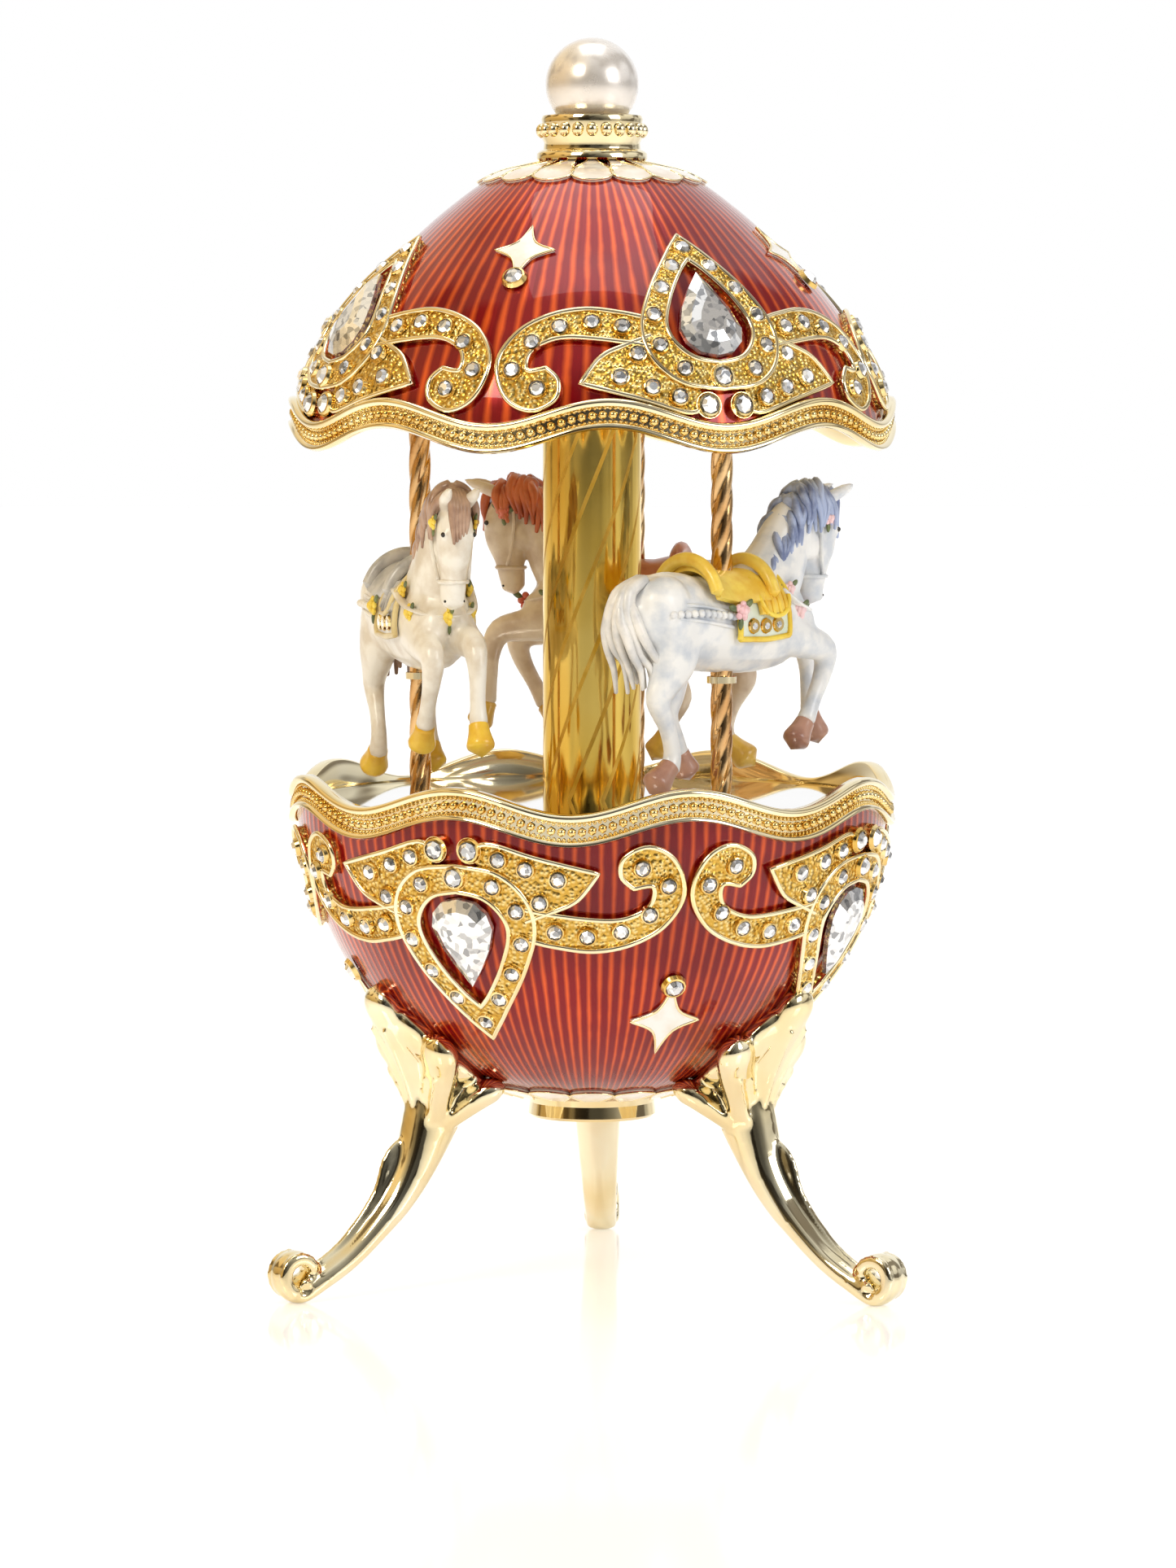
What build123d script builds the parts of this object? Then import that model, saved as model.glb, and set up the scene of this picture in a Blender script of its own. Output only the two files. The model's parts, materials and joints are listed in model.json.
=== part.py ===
from build123d import *
import os
from math import atan2, cos, degrees, hypot, pi, radians, sin

# Carousel music box. Millimetres, +Z up, origin on the table under the turning axis.
# An azimuth is measured from the front (-Y) towards +X.

os.makedirs("parts", exist_ok=True)

# ---- driving dimensions ----
rim_radius = 42.0  # outside of the two wavy gold rims
rim_waves = 8
wave_height = 1.64  # half the rise of a wave
shell_wall = 1.2
bowl_rim_top = 69.6  # mean height of the bowl rim's upper edge
bowl_rim_height = 4.5
roof_rim_bottom = 117.0  # mean height of the roof rim's lower edge
roof_rim_height = 4.1
bowl_crest = 18.4  # azimuth of a crest of the bowl rim
roof_crest = 3.0  # azimuth of a crest of the roof rim
bowl_ornament_azimuth = -26.6
roof_ornament_azimuth = 25.5
ornaments = 4
ornament_relief = 1.3
petals = 16

deck_top = 67.2
deck_radius = 39.2
deck_thickness = 1.6
ceiling_bottom = 118.9
ceiling_thickness = 1.2
ceiling_radius = 38.4
column_radius = 6.8
pole_radius = 1.5
pole_circle = 24.5
pole_azimuths = (-74.3, 45.7, 165.7)
horse_names = ("horse_front", "horse_right", "horse_rear")

leg_azimuths = (-61.8, 58.2, 178.2)
foot_radius = 45.4  # distance of the volute's centre from the axis
foot_centre = 4.05
volute_radius = 4.2
eye_reach = 3.1  # half the width over the two eyes of a volute
leg_reach = 5.0  # more than half of a leg's greatest width
grip_floor = 20.0  # the lobes are cut from the bowl's outer layer above this height
grip_height = 30.0

bedplate_bottom = 44.0
bedplate_thickness = 1.6
bedplate_top = bedplate_bottom + bedplate_thickness
fit = 0.05  # radial clearance of a running fit

# Outer profiles of the two shells, as radius and height.
bowl_profile = [
    (8.2, 25.7), (12.0, 26.5), (21.0, 30.5), (29.0, 37.5), (34.6, 45.5),
    (38.2, 53.6), (40.4, 62.0), (40.9, 67.4),
]
dome_profile = [
    (4.0, 154.9), (9.0, 154.0), (14.1, 152.5), (20.0, 148.3), (25.3, 143.6),
    (30.0, 139.0), (33.8, 134.5), (36.9, 129.5), (39.2, 124.5), (40.5, 118.9),
]


# ---- places and surfaces ----
def around(radius, azimuth, height=0.0):
    a = radians(azimuth)
    return Vector(radius * sin(a), -radius * cos(a), height)


def facing_plane(azimuth, radius=0.0, height=0.0):
    """Plane seen from outside at an azimuth: x to the right, y up."""
    a = radians(azimuth)
    origin = around(radius, azimuth, height)
    return Plane(origin=origin, x_dir=(cos(a), sin(a), 0), z_dir=(sin(a), -cos(a), 0))


def meridian_plane(azimuth):
    """Plane through the axis: x outwards, y up."""
    a = radians(azimuth)
    return Plane(origin=(0, 0, 0), x_dir=(sin(a), -cos(a), 0), z_dir=(-cos(a), -sin(a), 0))


def offset_profile(profile, distance):
    """The same profile moved outwards along its normals."""
    moved = []
    last = len(profile) - 1
    for i, (r, z) in enumerate(profile):
        r0, z0 = profile[max(i - 1, 0)]
        r1, z1 = profile[min(i + 1, last)]
        length = hypot(r1 - r0, z1 - z0)
        side = 1 if z1 > z0 else -1
        moved.append((r + side * distance * (z1 - z0) / length, z - side * distance * (r1 - r0) / length))
    return moved


def radius_at(profile, height):
    """Radius of a profile at a height, by straight runs between its points."""
    ordered = sorted(profile, key=lambda point: point[1])
    for (r0, z0), (r1, z1) in zip(ordered, ordered[1:]):
        if z0 <= height <= z1:
            return r0 + (r1 - r0) * (height - z0) / (z1 - z0)
    return ordered[-1][0] if height > ordered[-1][1] else ordered[0][0]


def slope_at(profile, height):
    """Angle of the outward normal above the horizontal, in degrees."""
    step = 0.6
    dr = radius_at(profile, height + step) - radius_at(profile, height - step)
    return degrees(atan2(-dr, 2 * step))


def shell_layer(profile, inner, outer):
    """Solid between two offsets of a profile, turned about the axis."""
    with BuildPart() as layer:
        with BuildSketch(Plane.XZ):
            with BuildLine():
                low = Spline(*offset_profile(profile, inner))
                high = Spline(*offset_profile(profile, outer))
                Line(low @ 0, high @ 0)
                Line(low @ 1, high @ 1)
            make_face()
        revolve(axis=Axis.Z)
    return layer.part


def filled_profile(profile):
    """Solid out to a profile, turned about the axis."""
    with BuildPart() as filled:
        with BuildSketch(Plane.XZ):
            with BuildLine():
                edge = Spline(*profile)
                Polyline(edge @ 0, (0, profile[0][1]), (0, profile[-1][1]), edge @ 1)
            make_face()
        revolve(axis=Axis.Z)
    return filled.part


bowl_layer = shell_layer(bowl_profile, 0, ornament_relief)
dome_layer = shell_layer(dome_profile, 0, ornament_relief)
bowl_solid = filled_profile(bowl_profile)
dome_solid = filled_profile(dome_profile)

# ---- ornament, drawn once: angle from its middle and height from the rim ----
drop_wide, drop_round, drop_tip = 15.2, 12.0, 27.6
drop_inner_wide, drop_inner_round, drop_inner_tip = 9.6, 12.0, 23.0
wing_outline = [(3.5, 2.2), (6.5, 0.7), (16, 2.6), (27.8, 4.6), (23.5, 8.8), (15, 10.4), (10.5, 7.6)]
scroll_outline = [
    (14.0, 9.6), (20, 10.2), (30.6, 11.0), (35.9, 9.8), (37.9, 7.6), (34.2, 6.6),
    (32.6, 3.8), (36.9, 1.3), (41.3, 2.9), (44.2, 7.2), (40.6, 11.8), (34.0, 14.4),
    (26.0, 15.2), (19.0, 14.6), (13.6, 13.4),
]
bezel_stones = [(0, 5.5), (-3.5, 1.8), (3.5, 1.8)]
bezel_radius = 1.8
bezel_stone_radius = 1.35
pear_bottom, pear_top, pear_half_width = 8.6, 17.8, 3.1
star_crystal_height = 20.2
star_centre_height = 27.0
star_reach = 5.0


def bowl_height(drop):
    return 65.0 - drop


def dome_height(drop):
    return 119.6 + drop * (1.04 - 0.0062 * drop)


def drawn(points, profile, height_of):
    """Ornament points as flat sketch points, seen from straight in front."""
    return [(radius_at(profile, height_of(h)) * sin(radians(a)), height_of(h)) for a, h in points]


def mirrored(points):
    return [(-a, h) for a, h in points]


def drop_outline(wide, middle, near, tip):
    """Right half of a pointed drop, from its round end to its point."""
    return [(0, near), (0.72 * wide, near + 0.2 * (middle - near)), (wide, middle),
            (0.62 * wide, 0.4 * middle + 0.6 * tip), (0, tip)]


def drop_face(half, profile, height_of):
    """Flat face of a pointed drop."""
    up = 1 if height_of(1) > height_of(0) else -1
    right = drawn(half, profile, height_of)
    left = drawn(mirrored(half), profile, height_of)
    with BuildSketch() as face:
        with BuildLine():
            Spline(*right[:3], tangents=[(1, 0), (0, up)])
            Spline(*right[2:], tangents=[(0, up), (-1, 1.4 * up)])
            Spline(*left[:3], tangents=[(-1, 0), (0, up)])
            Spline(*left[2:], tangents=[(0, up), (1, 1.4 * up)])
        make_face()
    return face.sketch


def outline_face(points, profile, height_of):
    """Flat face inside one smooth closed outline."""
    with BuildSketch() as face:
        with BuildLine():
            Spline(*drawn(points, profile, height_of), periodic=True)
        make_face()
    return face.sketch


def ornament_frame(azimuth, profile, layer, height_of):
    """One cast frame: pointed drop, two wings and two scrolls."""
    outer = drop_outline(drop_wide, drop_round, 4.2, drop_tip)
    inner = drop_outline(drop_inner_wide, drop_inner_round, 7.2, drop_inner_tip)
    with BuildPart() as frame:
        with BuildSketch(facing_plane(azimuth)):
            add(drop_face(outer, profile, height_of))
            for outline in (wing_outline, scroll_outline):
                add(outline_face(outline, profile, height_of))
                add(outline_face(mirrored(outline), profile, height_of))
            for place in drawn(bezel_stones, profile, height_of):
                with Locations(place):
                    Circle(bezel_radius)
            add(drop_face(inner, profile, height_of), mode=Mode.SUBTRACT)
        extrude(amount=2 * rim_radius)
        add(layer, mode=Mode.INTERSECT)
    return frame.part


def surface_plane(azimuth, profile, height, lift=0.0):
    """Plane lying on a shell at an azimuth and height, facing outwards."""
    tilt = radians(slope_at(profile, height))
    a = radians(azimuth)
    normal = Vector(cos(tilt) * sin(a), -cos(tilt) * cos(a), sin(tilt))
    origin = around(radius_at(profile, height), azimuth, height) + normal * lift
    return Plane(origin=origin, x_dir=(cos(a), sin(a), 0), z_dir=normal)


def set_stone(radius, azimuth, profile, height, lift):
    """A round stone: straight girdle and a crown with a flat table."""
    plane = surface_plane(azimuth, profile, height, lift)
    with BuildPart() as stone:
        with BuildSketch(plane):
            Circle(radius)
        extrude(amount=0.35)
        with BuildSketch(plane.offset(0.35)):
            Circle(radius)
        extrude(amount=0.4 * radius, taper=40)
    return stone.part


def pear_stone(azimuth, profile, height_of):
    """A pointed stone in the middle of a frame."""
    middle = 0.5 * (height_of(pear_bottom) + height_of(pear_top))
    half_length = 0.5 * abs(height_of(pear_top) - height_of(pear_bottom))
    point = half_length if height_of(1) > height_of(0) else -half_length
    plane = surface_plane(azimuth, profile, middle, 0.2)
    with BuildPart() as stone:
        with BuildSketch(plane):
            with BuildLine():
                round_end = ThreePointArc(
                    (-pear_half_width, -0.25 * point), (0, -point), (pear_half_width, -0.25 * point))
                Polyline(round_end @ 1, (0, point), round_end @ 0)
            make_face()
        extrude(amount=1.6, taper=25)
        add(bowl_solid, mode=Mode.SUBTRACT)
        add(dome_solid, mode=Mode.SUBTRACT)
    return stone.part


def star_plate(azimuth, profile, layer, height_of):
    """A four-pointed enamel star lying on a shell."""
    centre = height_of(star_centre_height)
    long_reach = star_reach * 0.95
    waist = 0.3 * star_reach
    with BuildPart() as star:
        with BuildSketch(facing_plane(azimuth)):
            with Locations((0, centre)):
                Polygon((0, long_reach), (waist, waist), (star_reach, 0), (waist, -waist),
                        (0, -long_reach), (-waist, -waist), (-star_reach, 0), (-waist, waist),
                        align=None)
        extrude(amount=2 * rim_radius)
        add(layer, mode=Mode.INTERSECT)
    return star.part


def petal_ring(centre_radius, petal_radius, bore, layer, low, high):
    """Overlapping round petals in one thin ring."""
    with BuildPart() as ring:
        with BuildSketch(Plane.XY.offset(low)):
            Circle(centre_radius)
            with PolarLocations(centre_radius, petals):
                Circle(petal_radius)
            Circle(bore, mode=Mode.SUBTRACT)
        extrude(amount=high - low)
        add(layer, mode=Mode.INTERSECT)
    return ring.part


def wavy_rim(inner, outer, bottom, height, crest, keep_out):
    """A band whose edges wave up and down around the shell."""
    span = 180 / rim_waves
    reach = 0.5 * (inner + outer)
    steps = [span * i / 4 for i in range(-4, 5)]

    def edge(level):
        return [(reach * sin(radians(a)), level + wave_height * cos(radians(a * rim_waves))) for a in steps]

    with BuildPart() as sector:
        with BuildSketch(meridian_plane(crest - span)):
            with Locations((reach, bottom + 0.5 * height)):
                Rectangle(outer - inner, 3 * height)
        revolve(axis=Axis.Z, revolution_arc=2 * span)
    with BuildPart() as wave:
        with BuildSketch(facing_plane(crest)):
            with BuildLine():
                low = Spline(*edge(bottom), tangents=[(1, 0), (1, 0)])
                high = Spline(*edge(bottom + height), tangents=[(1, 0), (1, 0)])
                Line(low @ 0, high @ 0)
                Line(low @ 1, high @ 1)
            make_face()
        extrude(amount=2 * rim_radius)
        add(sector.part, mode=Mode.INTERSECT)
        add(keep_out, mode=Mode.SUBTRACT)
    with BuildPart() as band:
        with PolarLocations(0, rim_waves):
            add(wave.part)
    return band.part


def save(solids, name):
    """Label a finished sub-part and write its file."""
    solids.label = name
    export_step(solids, f"parts/{name}.step")


def turned(piece, count):
    """Copies of a piece spaced evenly round the axis."""
    with BuildPart() as copies:
        with PolarLocations(0, count):
            add(piece)
    return copies.part


def cut_by(piece, tools):
    """A piece with room made for what lies over it."""
    with BuildPart() as rest:
        add(piece)
        for tool in tools:
            add(tool, mode=Mode.SUBTRACT)
    return rest.part


def gathered(pieces):
    """Several separate solids as one part."""
    with BuildPart() as group:
        for piece in pieces:
            add(piece)
    return group.part


# ---- enamelled bowl and what is fixed to it ----
collar_radius = 8.9
collar_bottom = 22.9
knob_bore = 7.9
bowl_petal_circle = 13.2

bowl_shell_blank = shell_layer(bowl_profile, -shell_wall, 0)

with BuildPart() as bottom_collar:
    with BuildSketch(Plane.XZ):
        Polygon((knob_bore, collar_bottom), (collar_radius - 0.4, collar_bottom),
                (collar_radius, collar_bottom + 0.4), (collar_radius - 0.2, 24.9), (9.4, 26.6),
                (knob_bore, 26.6), align=None)
    revolve(axis=Axis.Z)
    add(bowl_solid, mode=Mode.SUBTRACT)
bottom_collar.part.label = "bottom_collar"
export_step(bottom_collar.part, "parts/bottom_collar.step")

with BuildPart() as bowl_petal_ring:
    add(petal_ring(bowl_petal_circle, 2.8, 10.2, shell_layer(bowl_profile, 0, 0.7), 22, 34))
save(bowl_petal_ring.part, "bowl_petal_ring")

# ---- legs: a lobed bracket, a tapering blade and a volute foot ----
leg_inner = [(20.5, 24.8), (24.0, 18.4), (27.4, 13.4), (30.9, 9.2), (34.4, 5.8), (37.9, 3.3), (41.4, 1.5), (44.0, 0.4)]
leg_outer = [(45.4, 7.6), (41.5, 6.0), (36.8, 8.9), (33.7, 12.8), (31.2, 17.1), (29.5, 23.5)]
leg_half_widths = [(3.95, 42.0), (3.95, 24.0), (2.9, 14.0), (2.35, 5.0), (2.35, -1.0)]
lobes = [  # centre outwards, centre sideways, length, width, turn
    (25.2, 0, 6.9, 3.4, 0), (21.7, 4.7, 6.2, 2.6, 18), (21.7, -4.7, 6.2, 2.6, -18),
    (20.2, 4.3, 3.2, 2.2, 60), (20.2, -4.3, 3.2, 2.2, -60)]
lobe_thickness = 1.7
eye_radius = 1.5
leg_screw_circle = 25.0
leg_screw_radius = 0.8


def leg_screw(azimuth):
    """A countersunk screw from inside the bowl down into the leg."""
    with BuildPart() as screw:
        with BuildSketch(Plane(origin=around(leg_screw_circle, azimuth, 27.0))):
            Circle(leg_screw_radius)
        extrude(amount=11.0)
        with BuildSketch(Plane(origin=around(leg_screw_circle, azimuth, 34.6))):
            Circle(1.7)
        extrude(amount=1.6)
    return screw.part


def leg(azimuth):
    """One leg, from the lobes that grip the bowl to the volute on the table."""
    with BuildPart() as grip:
        with BuildSketch(Plane(origin=(0, 0, grip_floor), x_dir=around(1, azimuth), z_dir=(0, 0, 1))):
            for out, aside, length, width, turn in lobes:
                with Locations(Location((out, aside), turn)):
                    Ellipse(length, width)
        extrude(amount=grip_height)
        add(shell_layer(bowl_profile, -0.5, lobe_thickness), mode=Mode.INTERSECT)
    with BuildPart() as whole:
        with BuildSketch(meridian_plane(azimuth)):
            with BuildLine():
                inner = Spline(*leg_inner)
                outer = Spline(*leg_outer)
                Line(inner @ 1, outer @ 0)
                Polyline(outer @ 1, (29.5, 39.0), (20.5, 31.0), inner @ 0)
            make_face()
            with Locations((foot_radius, foot_centre)):
                Circle(volute_radius)
        extrude(amount=leg_reach, both=True)
        with BuildSketch(facing_plane(azimuth)):
            right = [(w, z) for w, z in leg_half_widths]
            left = [(-w, z) for w, z in reversed(leg_half_widths)]
            Polygon(*right, *left, align=None)
        extrude(amount=2 * rim_radius, mode=Mode.INTERSECT)
        with BuildSketch(meridian_plane(azimuth)):
            with Locations((foot_radius, foot_centre)):
                Circle(eye_radius)
        extrude(amount=eye_reach, both=True)
        add(grip.part)
        add(bowl_solid, mode=Mode.SUBTRACT)
        split(bisect_by=Plane.XY, keep=Keep.TOP)
        add(leg_screw(azimuth), mode=Mode.SUBTRACT)
    return whole.part


legs = [leg(azimuth) for azimuth in leg_azimuths]
for name, solid in zip(("leg_left", "leg_right", "leg_rear"), legs):
    save(solid, name)

leg_screws = gathered([leg_screw(azimuth) for azimuth in leg_azimuths])
save(leg_screws, "leg_screws")

with BuildPart() as bowl_shell:
    add(bowl_shell_blank)
    add(leg_screws, mode=Mode.SUBTRACT)
save(bowl_shell.part, "bowl_shell")

bowl_rim_band = wavy_rim(39.9, rim_radius, bowl_rim_top - bowl_rim_height, bowl_rim_height,
                         bowl_crest, bowl_shell_blank)
save(bowl_rim_band, "bowl_rim_band")


def ornament_set(prefix, middle, profile, layer, height_of, rim_band, brackets=()):
    """Frames, stones and stars of one shell: one of each, then turned copies."""
    star_middle = middle + 180 / ornaments
    bezels = gathered([set_stone(bezel_stone_radius, middle + a, profile, height_of(h), 0.8)
                       for a, h in bezel_stones])
    crystal = set_stone(bezel_stone_radius, star_middle, profile, height_of(star_crystal_height), 0.35)
    with BuildPart() as frame:
        add(ornament_frame(middle, profile, layer, height_of))
        add(rim_band, mode=Mode.SUBTRACT)
        add(bezels, mode=Mode.SUBTRACT)
    with BuildPart() as star:
        add(star_plate(star_middle, profile, shell_layer(profile, 0, 0.7), height_of))
        add(crystal, mode=Mode.SUBTRACT)
    with BuildPart() as round_stones:
        add(bezels)
        add(crystal)
    save(cut_by(turned(frame.part, ornaments), brackets), prefix + "_ornament_frames")
    save(cut_by(turned(star.part, ornaments), brackets), prefix + "_stars")
    save(turned(round_stones.part, ornaments), prefix + "_bezel_stones")
    save(turned(pear_stone(middle, profile, height_of), ornaments), prefix + "_pear_stones")


ornament_set("bowl", bowl_ornament_azimuth, bowl_profile, bowl_layer, bowl_height, bowl_rim_band, legs)

# ---- roof ----
roof_petal_circle = 10.6

with BuildPart() as roof_shell:
    add(shell_layer(dome_profile, -shell_wall, 0))
    split(bisect_by=Plane.XY.offset(ceiling_bottom), keep=Keep.TOP)
save(roof_shell.part, "roof_shell")

roof_rim_band = wavy_rim(40.0, rim_radius - 0.1, roof_rim_bottom, roof_rim_height, roof_crest, dome_solid)
save(roof_rim_band, "roof_rim_band")

roof_petal_ring = petal_ring(roof_petal_circle, 2.4, 7.8, shell_layer(dome_profile, 0, 0.7), 145, 158)
save(roof_petal_ring, "roof_petal_ring")

ornament_set("roof", roof_ornament_azimuth, dome_profile, dome_layer, dome_height, roof_rim_band)

# ---- finial ----
with BuildPart() as finial_crown:
    with BuildSketch(Plane.XZ):
        Polygon((1.6, 154.95), (7.6, 154.95), (7.6, 156.2), (6.7, 156.5), (6.7, 157.6), (7.0, 158.0),
                (7.0, 160.0), (6.8, 161.2), (5.4, 161.2), (5.0, 160.4), (1.6, 160.4), align=None)
    revolve(axis=Axis.Z)
    add(dome_solid, mode=Mode.SUBTRACT)
    with PolarLocations(6.9, 22):
        with Locations((0, 0, 159.0)):
            Sphere(0.75)
save(finial_crown.part, "finial_crown")

pearl_radius = 6.4
pearl_centre = 165.4
tie_rod_radius = 1.5

with BuildPart() as pearl:
    with Locations((0, 0, pearl_centre)):
        Sphere(pearl_radius)
    with BuildSketch(Plane.XY.offset(pearl_centre - pearl_radius)):
        Circle(tie_rod_radius)
    extrude(amount=5.0, mode=Mode.SUBTRACT)
    add(finial_crown.part, mode=Mode.SUBTRACT)
save(pearl.part, "pearl")

# ---- turning deck, column, ceiling and poles ----
nut_height = 1.1
nut_radius = 2.2
stud_radius = 0.9
deck_bottom = deck_top - deck_thickness
ceiling_top = ceiling_bottom + ceiling_thickness
pole_places = [around(pole_circle, azimuth) for azimuth in pole_azimuths]


def disc(radius, bottom, height, bores=()):
    """A round plate with through bores, each given as a place and a radius."""
    with BuildPart() as plate:
        with BuildSketch(Plane.XY.offset(bottom)):
            Circle(radius)
            for place, bore in bores:
                with Locations((place.X, place.Y)):
                    Circle(bore, mode=Mode.SUBTRACT)
        extrude(amount=height)
    return plate.part


centre = Vector(0, 0, 0)
stud_bores = [(place, stud_radius) for place in pole_places]
rod_bore = [(centre, tie_rod_radius)]
save(disc(deck_radius, deck_bottom, deck_thickness, stud_bores + rod_bore), "deck")
save(disc(ceiling_radius, ceiling_bottom, ceiling_thickness, stud_bores + rod_bore), "ceiling_plate")

with BuildPart() as column:
    with BuildSketch(Plane.XY.offset(deck_top)):
        Circle(column_radius)
        Circle(column_radius - 1.0, mode=Mode.SUBTRACT)
    extrude(amount=ceiling_bottom - deck_top)
save(column.part, "column")

for name, place in zip(("pole_front", "pole_right", "pole_rear"), pole_places):
    with BuildPart() as pole:
        with BuildSketch(Plane.XY.offset(deck_top)):
            with Locations((place.X, place.Y)):
                Circle(pole_radius)
        extrude(amount=ceiling_bottom - deck_top)
        with BuildSketch(Plane.XY.offset(deck_bottom - nut_height)):
            with Locations((place.X, place.Y)):
                Circle(stud_radius)
        extrude(amount=ceiling_top - deck_bottom + 2 * nut_height)
    save(pole.part, name)

with BuildPart() as pole_nuts:
    for bottom in (deck_bottom - nut_height, ceiling_top):
        with BuildSketch(Plane.XY.offset(bottom)):
            for place in pole_places:
                with Locations((place.X, place.Y)):
                    RegularPolygon(nut_radius, 6)
                    Circle(stud_radius, mode=Mode.SUBTRACT)
        extrude(amount=nut_height)
save(pole_nuts.part, "pole_nuts")

with BuildPart() as pole_collars:
    with BuildSketch(Plane.XY.offset(84.0)):
        for place in pole_places:
            with Locations((place.X, place.Y)):
                Circle(2.0)
                Circle(pole_radius, mode=Mode.SUBTRACT)
    extrude(amount=0.9)
save(pole_collars.part, "pole_collars")

# ---- horses: forward, outward and up from the foot of the pole, facing counterclockwise ----
barrel_sections = [  # forward, height, half height, half width
    (-17.0, 94.0, 2.6, 2.2), (-14.0, 93.6, 5.4, 4.4), (-9.0, 92.8, 6.6, 5.2), (-2.0, 91.4, 6.0, 4.9),
    (5.0, 91.6, 6.4, 5.0), (11.0, 93.0, 6.0, 4.6), (15.5, 94.4, 3.2, 2.8)]
limbs = {
    "neck": [(9.0, 0, 96.0, 5.2), (14.0, 0, 103.0, 3.9), (17.5, 0, 108.0, 3.3)],
    "head": [(17.5, 0, 108.0, 3.4), (21.0, 0, 103.5, 2.9), (21.0, 0, 96.0, 1.9)],
    "mane": [(12.0, 0, 106.5, 1.5), (16.5, 0, 110.4, 1.5), (20.0, 0, 109.6, 1.3)],
    "ears": [(19.0, 0, 110.0, 1.2), (25.0, 0, 110.8, 0.5)],
    "tail": [(-15.5, 0, 97.0, 2.2), (-20.0, 0, 92.0, 2.6), (-20.4, 0, 85.0, 2.4), (-18.4, 0, 79.0, 0.9)],
    "outer_hind": [(-12.5, 2.6, 91.0, 3.4), (-13.0, 2.6, 85.5, 2.3), (-16.2, 2.6, 80.5, 1.6),
                   (-15.8, 2.6, 74.6, 1.2), (-18.0, 2.6, 71.2, 1.5)],
    "inner_hind": [(-10.5, -2.6, 90.0, 3.4), (-6.0, -2.6, 84.5, 2.2), (-8.6, -2.6, 79.0, 1.5),
                   (-5.2, -2.6, 75.6, 1.2), (-4.0, -2.6, 72.6, 1.5)],
    "inner_fore": [(11.5, -2.6, 91.0, 2.9), (19.4, -2.6, 88.8, 1.8), (21.0, -2.6, 82.0, 1.2),
                   (22.2, -2.6, 76.6, 1.5)],
    "outer_fore": [(11.5, 2.6, 91.0, 2.9), (17.2, 2.6, 87.6, 1.8), (13.4, 2.6, 81.2, 1.2),
                   (11.6, 2.6, 75.8, 1.5)],
}
joint_fullness = 1.03
saddle_sections = [(-5.5, 98.6, 1.6, 2.6), (-1.0, 97.2, 1.6, 3.6), (4.5, 98.8, 1.6, 2.4)]


def ellipse_section(frame, forward, height, half_height, half_width):
    """Upright ellipse across the horse, at a place along it."""
    return Plane(origin=frame.from_local_coords(Vector(forward, 0, height)),
                 x_dir=frame.y_dir, z_dir=frame.x_dir), half_width, half_height


def horse(place, heading):
    """A galloping horse cast in one piece, bored for its pole."""
    frame = Plane(origin=place, x_dir=around(1, heading), z_dir=(0, 0, 1))
    with BuildPart() as body:
        for sections in (barrel_sections, saddle_sections):
            for section in sections:
                plane, half_width, half_height = ellipse_section(frame, *section)
                with BuildSketch(plane):
                    Ellipse(half_width, half_height)
            loft()
        for limb in limbs.values():
            points = [frame.from_local_coords(Vector(u, -v, z)) for u, v, z, _ in limb]
            sizes = [size for _, _, _, size in limb]
            for p, q, p_size, q_size in zip(points, points[1:], sizes, sizes[1:]):
                with BuildSketch(Plane(origin=p, z_dir=q - p)):
                    Circle(p_size)
                with BuildSketch(Plane(origin=q, z_dir=q - p)):
                    Circle(q_size)
                loft()
            for point, size in zip(points, sizes):
                with Locations(point):
                    Sphere(size * joint_fullness)
        with BuildSketch(Plane(origin=place + Vector(0, 0, deck_top))):
            Circle(pole_radius)
        extrude(amount=ceiling_bottom - deck_top, mode=Mode.SUBTRACT)
        add(pole_collars.part, mode=Mode.SUBTRACT)
    return body.part


for name, place, azimuth in zip(horse_names, pole_places, pole_azimuths):
    save(horse(place, azimuth + 90), name)


# ---- winding knob, under the bowl ----
arbor_radius = 1.5
knob_radius = 6.3
knob_bottom = 23.3
knob_top = 25.6
barrel_bottom = 46.6
barrel_top = 51.4
barrel_radius = 10.4

with BuildPart() as winding_knob:
    with BuildSketch(Plane.XY.offset(knob_bottom)):
        Circle(knob_radius)
    extrude(amount=knob_top - knob_bottom)
    with BuildSketch(Plane.XY.offset(knob_bottom)):
        Circle(knob_radius - 0.8)
        Rectangle(2.2, 2 * knob_radius, mode=Mode.SUBTRACT)
    extrude(amount=1.3, mode=Mode.SUBTRACT)
save(winding_knob.part, "winding_knob")

save(disc(arbor_radius, knob_top, barrel_top - 1.2 - knob_top), "winding_arbor")

# ---- bedplate, its posts and screws ----
post_azimuths = (20, 140, 260)
post_circle = 26.0
post_radius = 2.3
screw_radius = 0.8
bedplate_radius = 31.4
bush_radius = 2.6
post_places = [around(post_circle, azimuth) for azimuth in post_azimuths]

post_bores = [(place, screw_radius) for place in post_places]
save(disc(bedplate_radius, bedplate_bottom, bedplate_thickness, post_bores + [(centre, bush_radius)]), "bedplate")
save(disc(bush_radius, bedplate_bottom - 0.6, bedplate_thickness + 1.2, [(centre, arbor_radius + fit)]),
     "arbor_bush")

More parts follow.
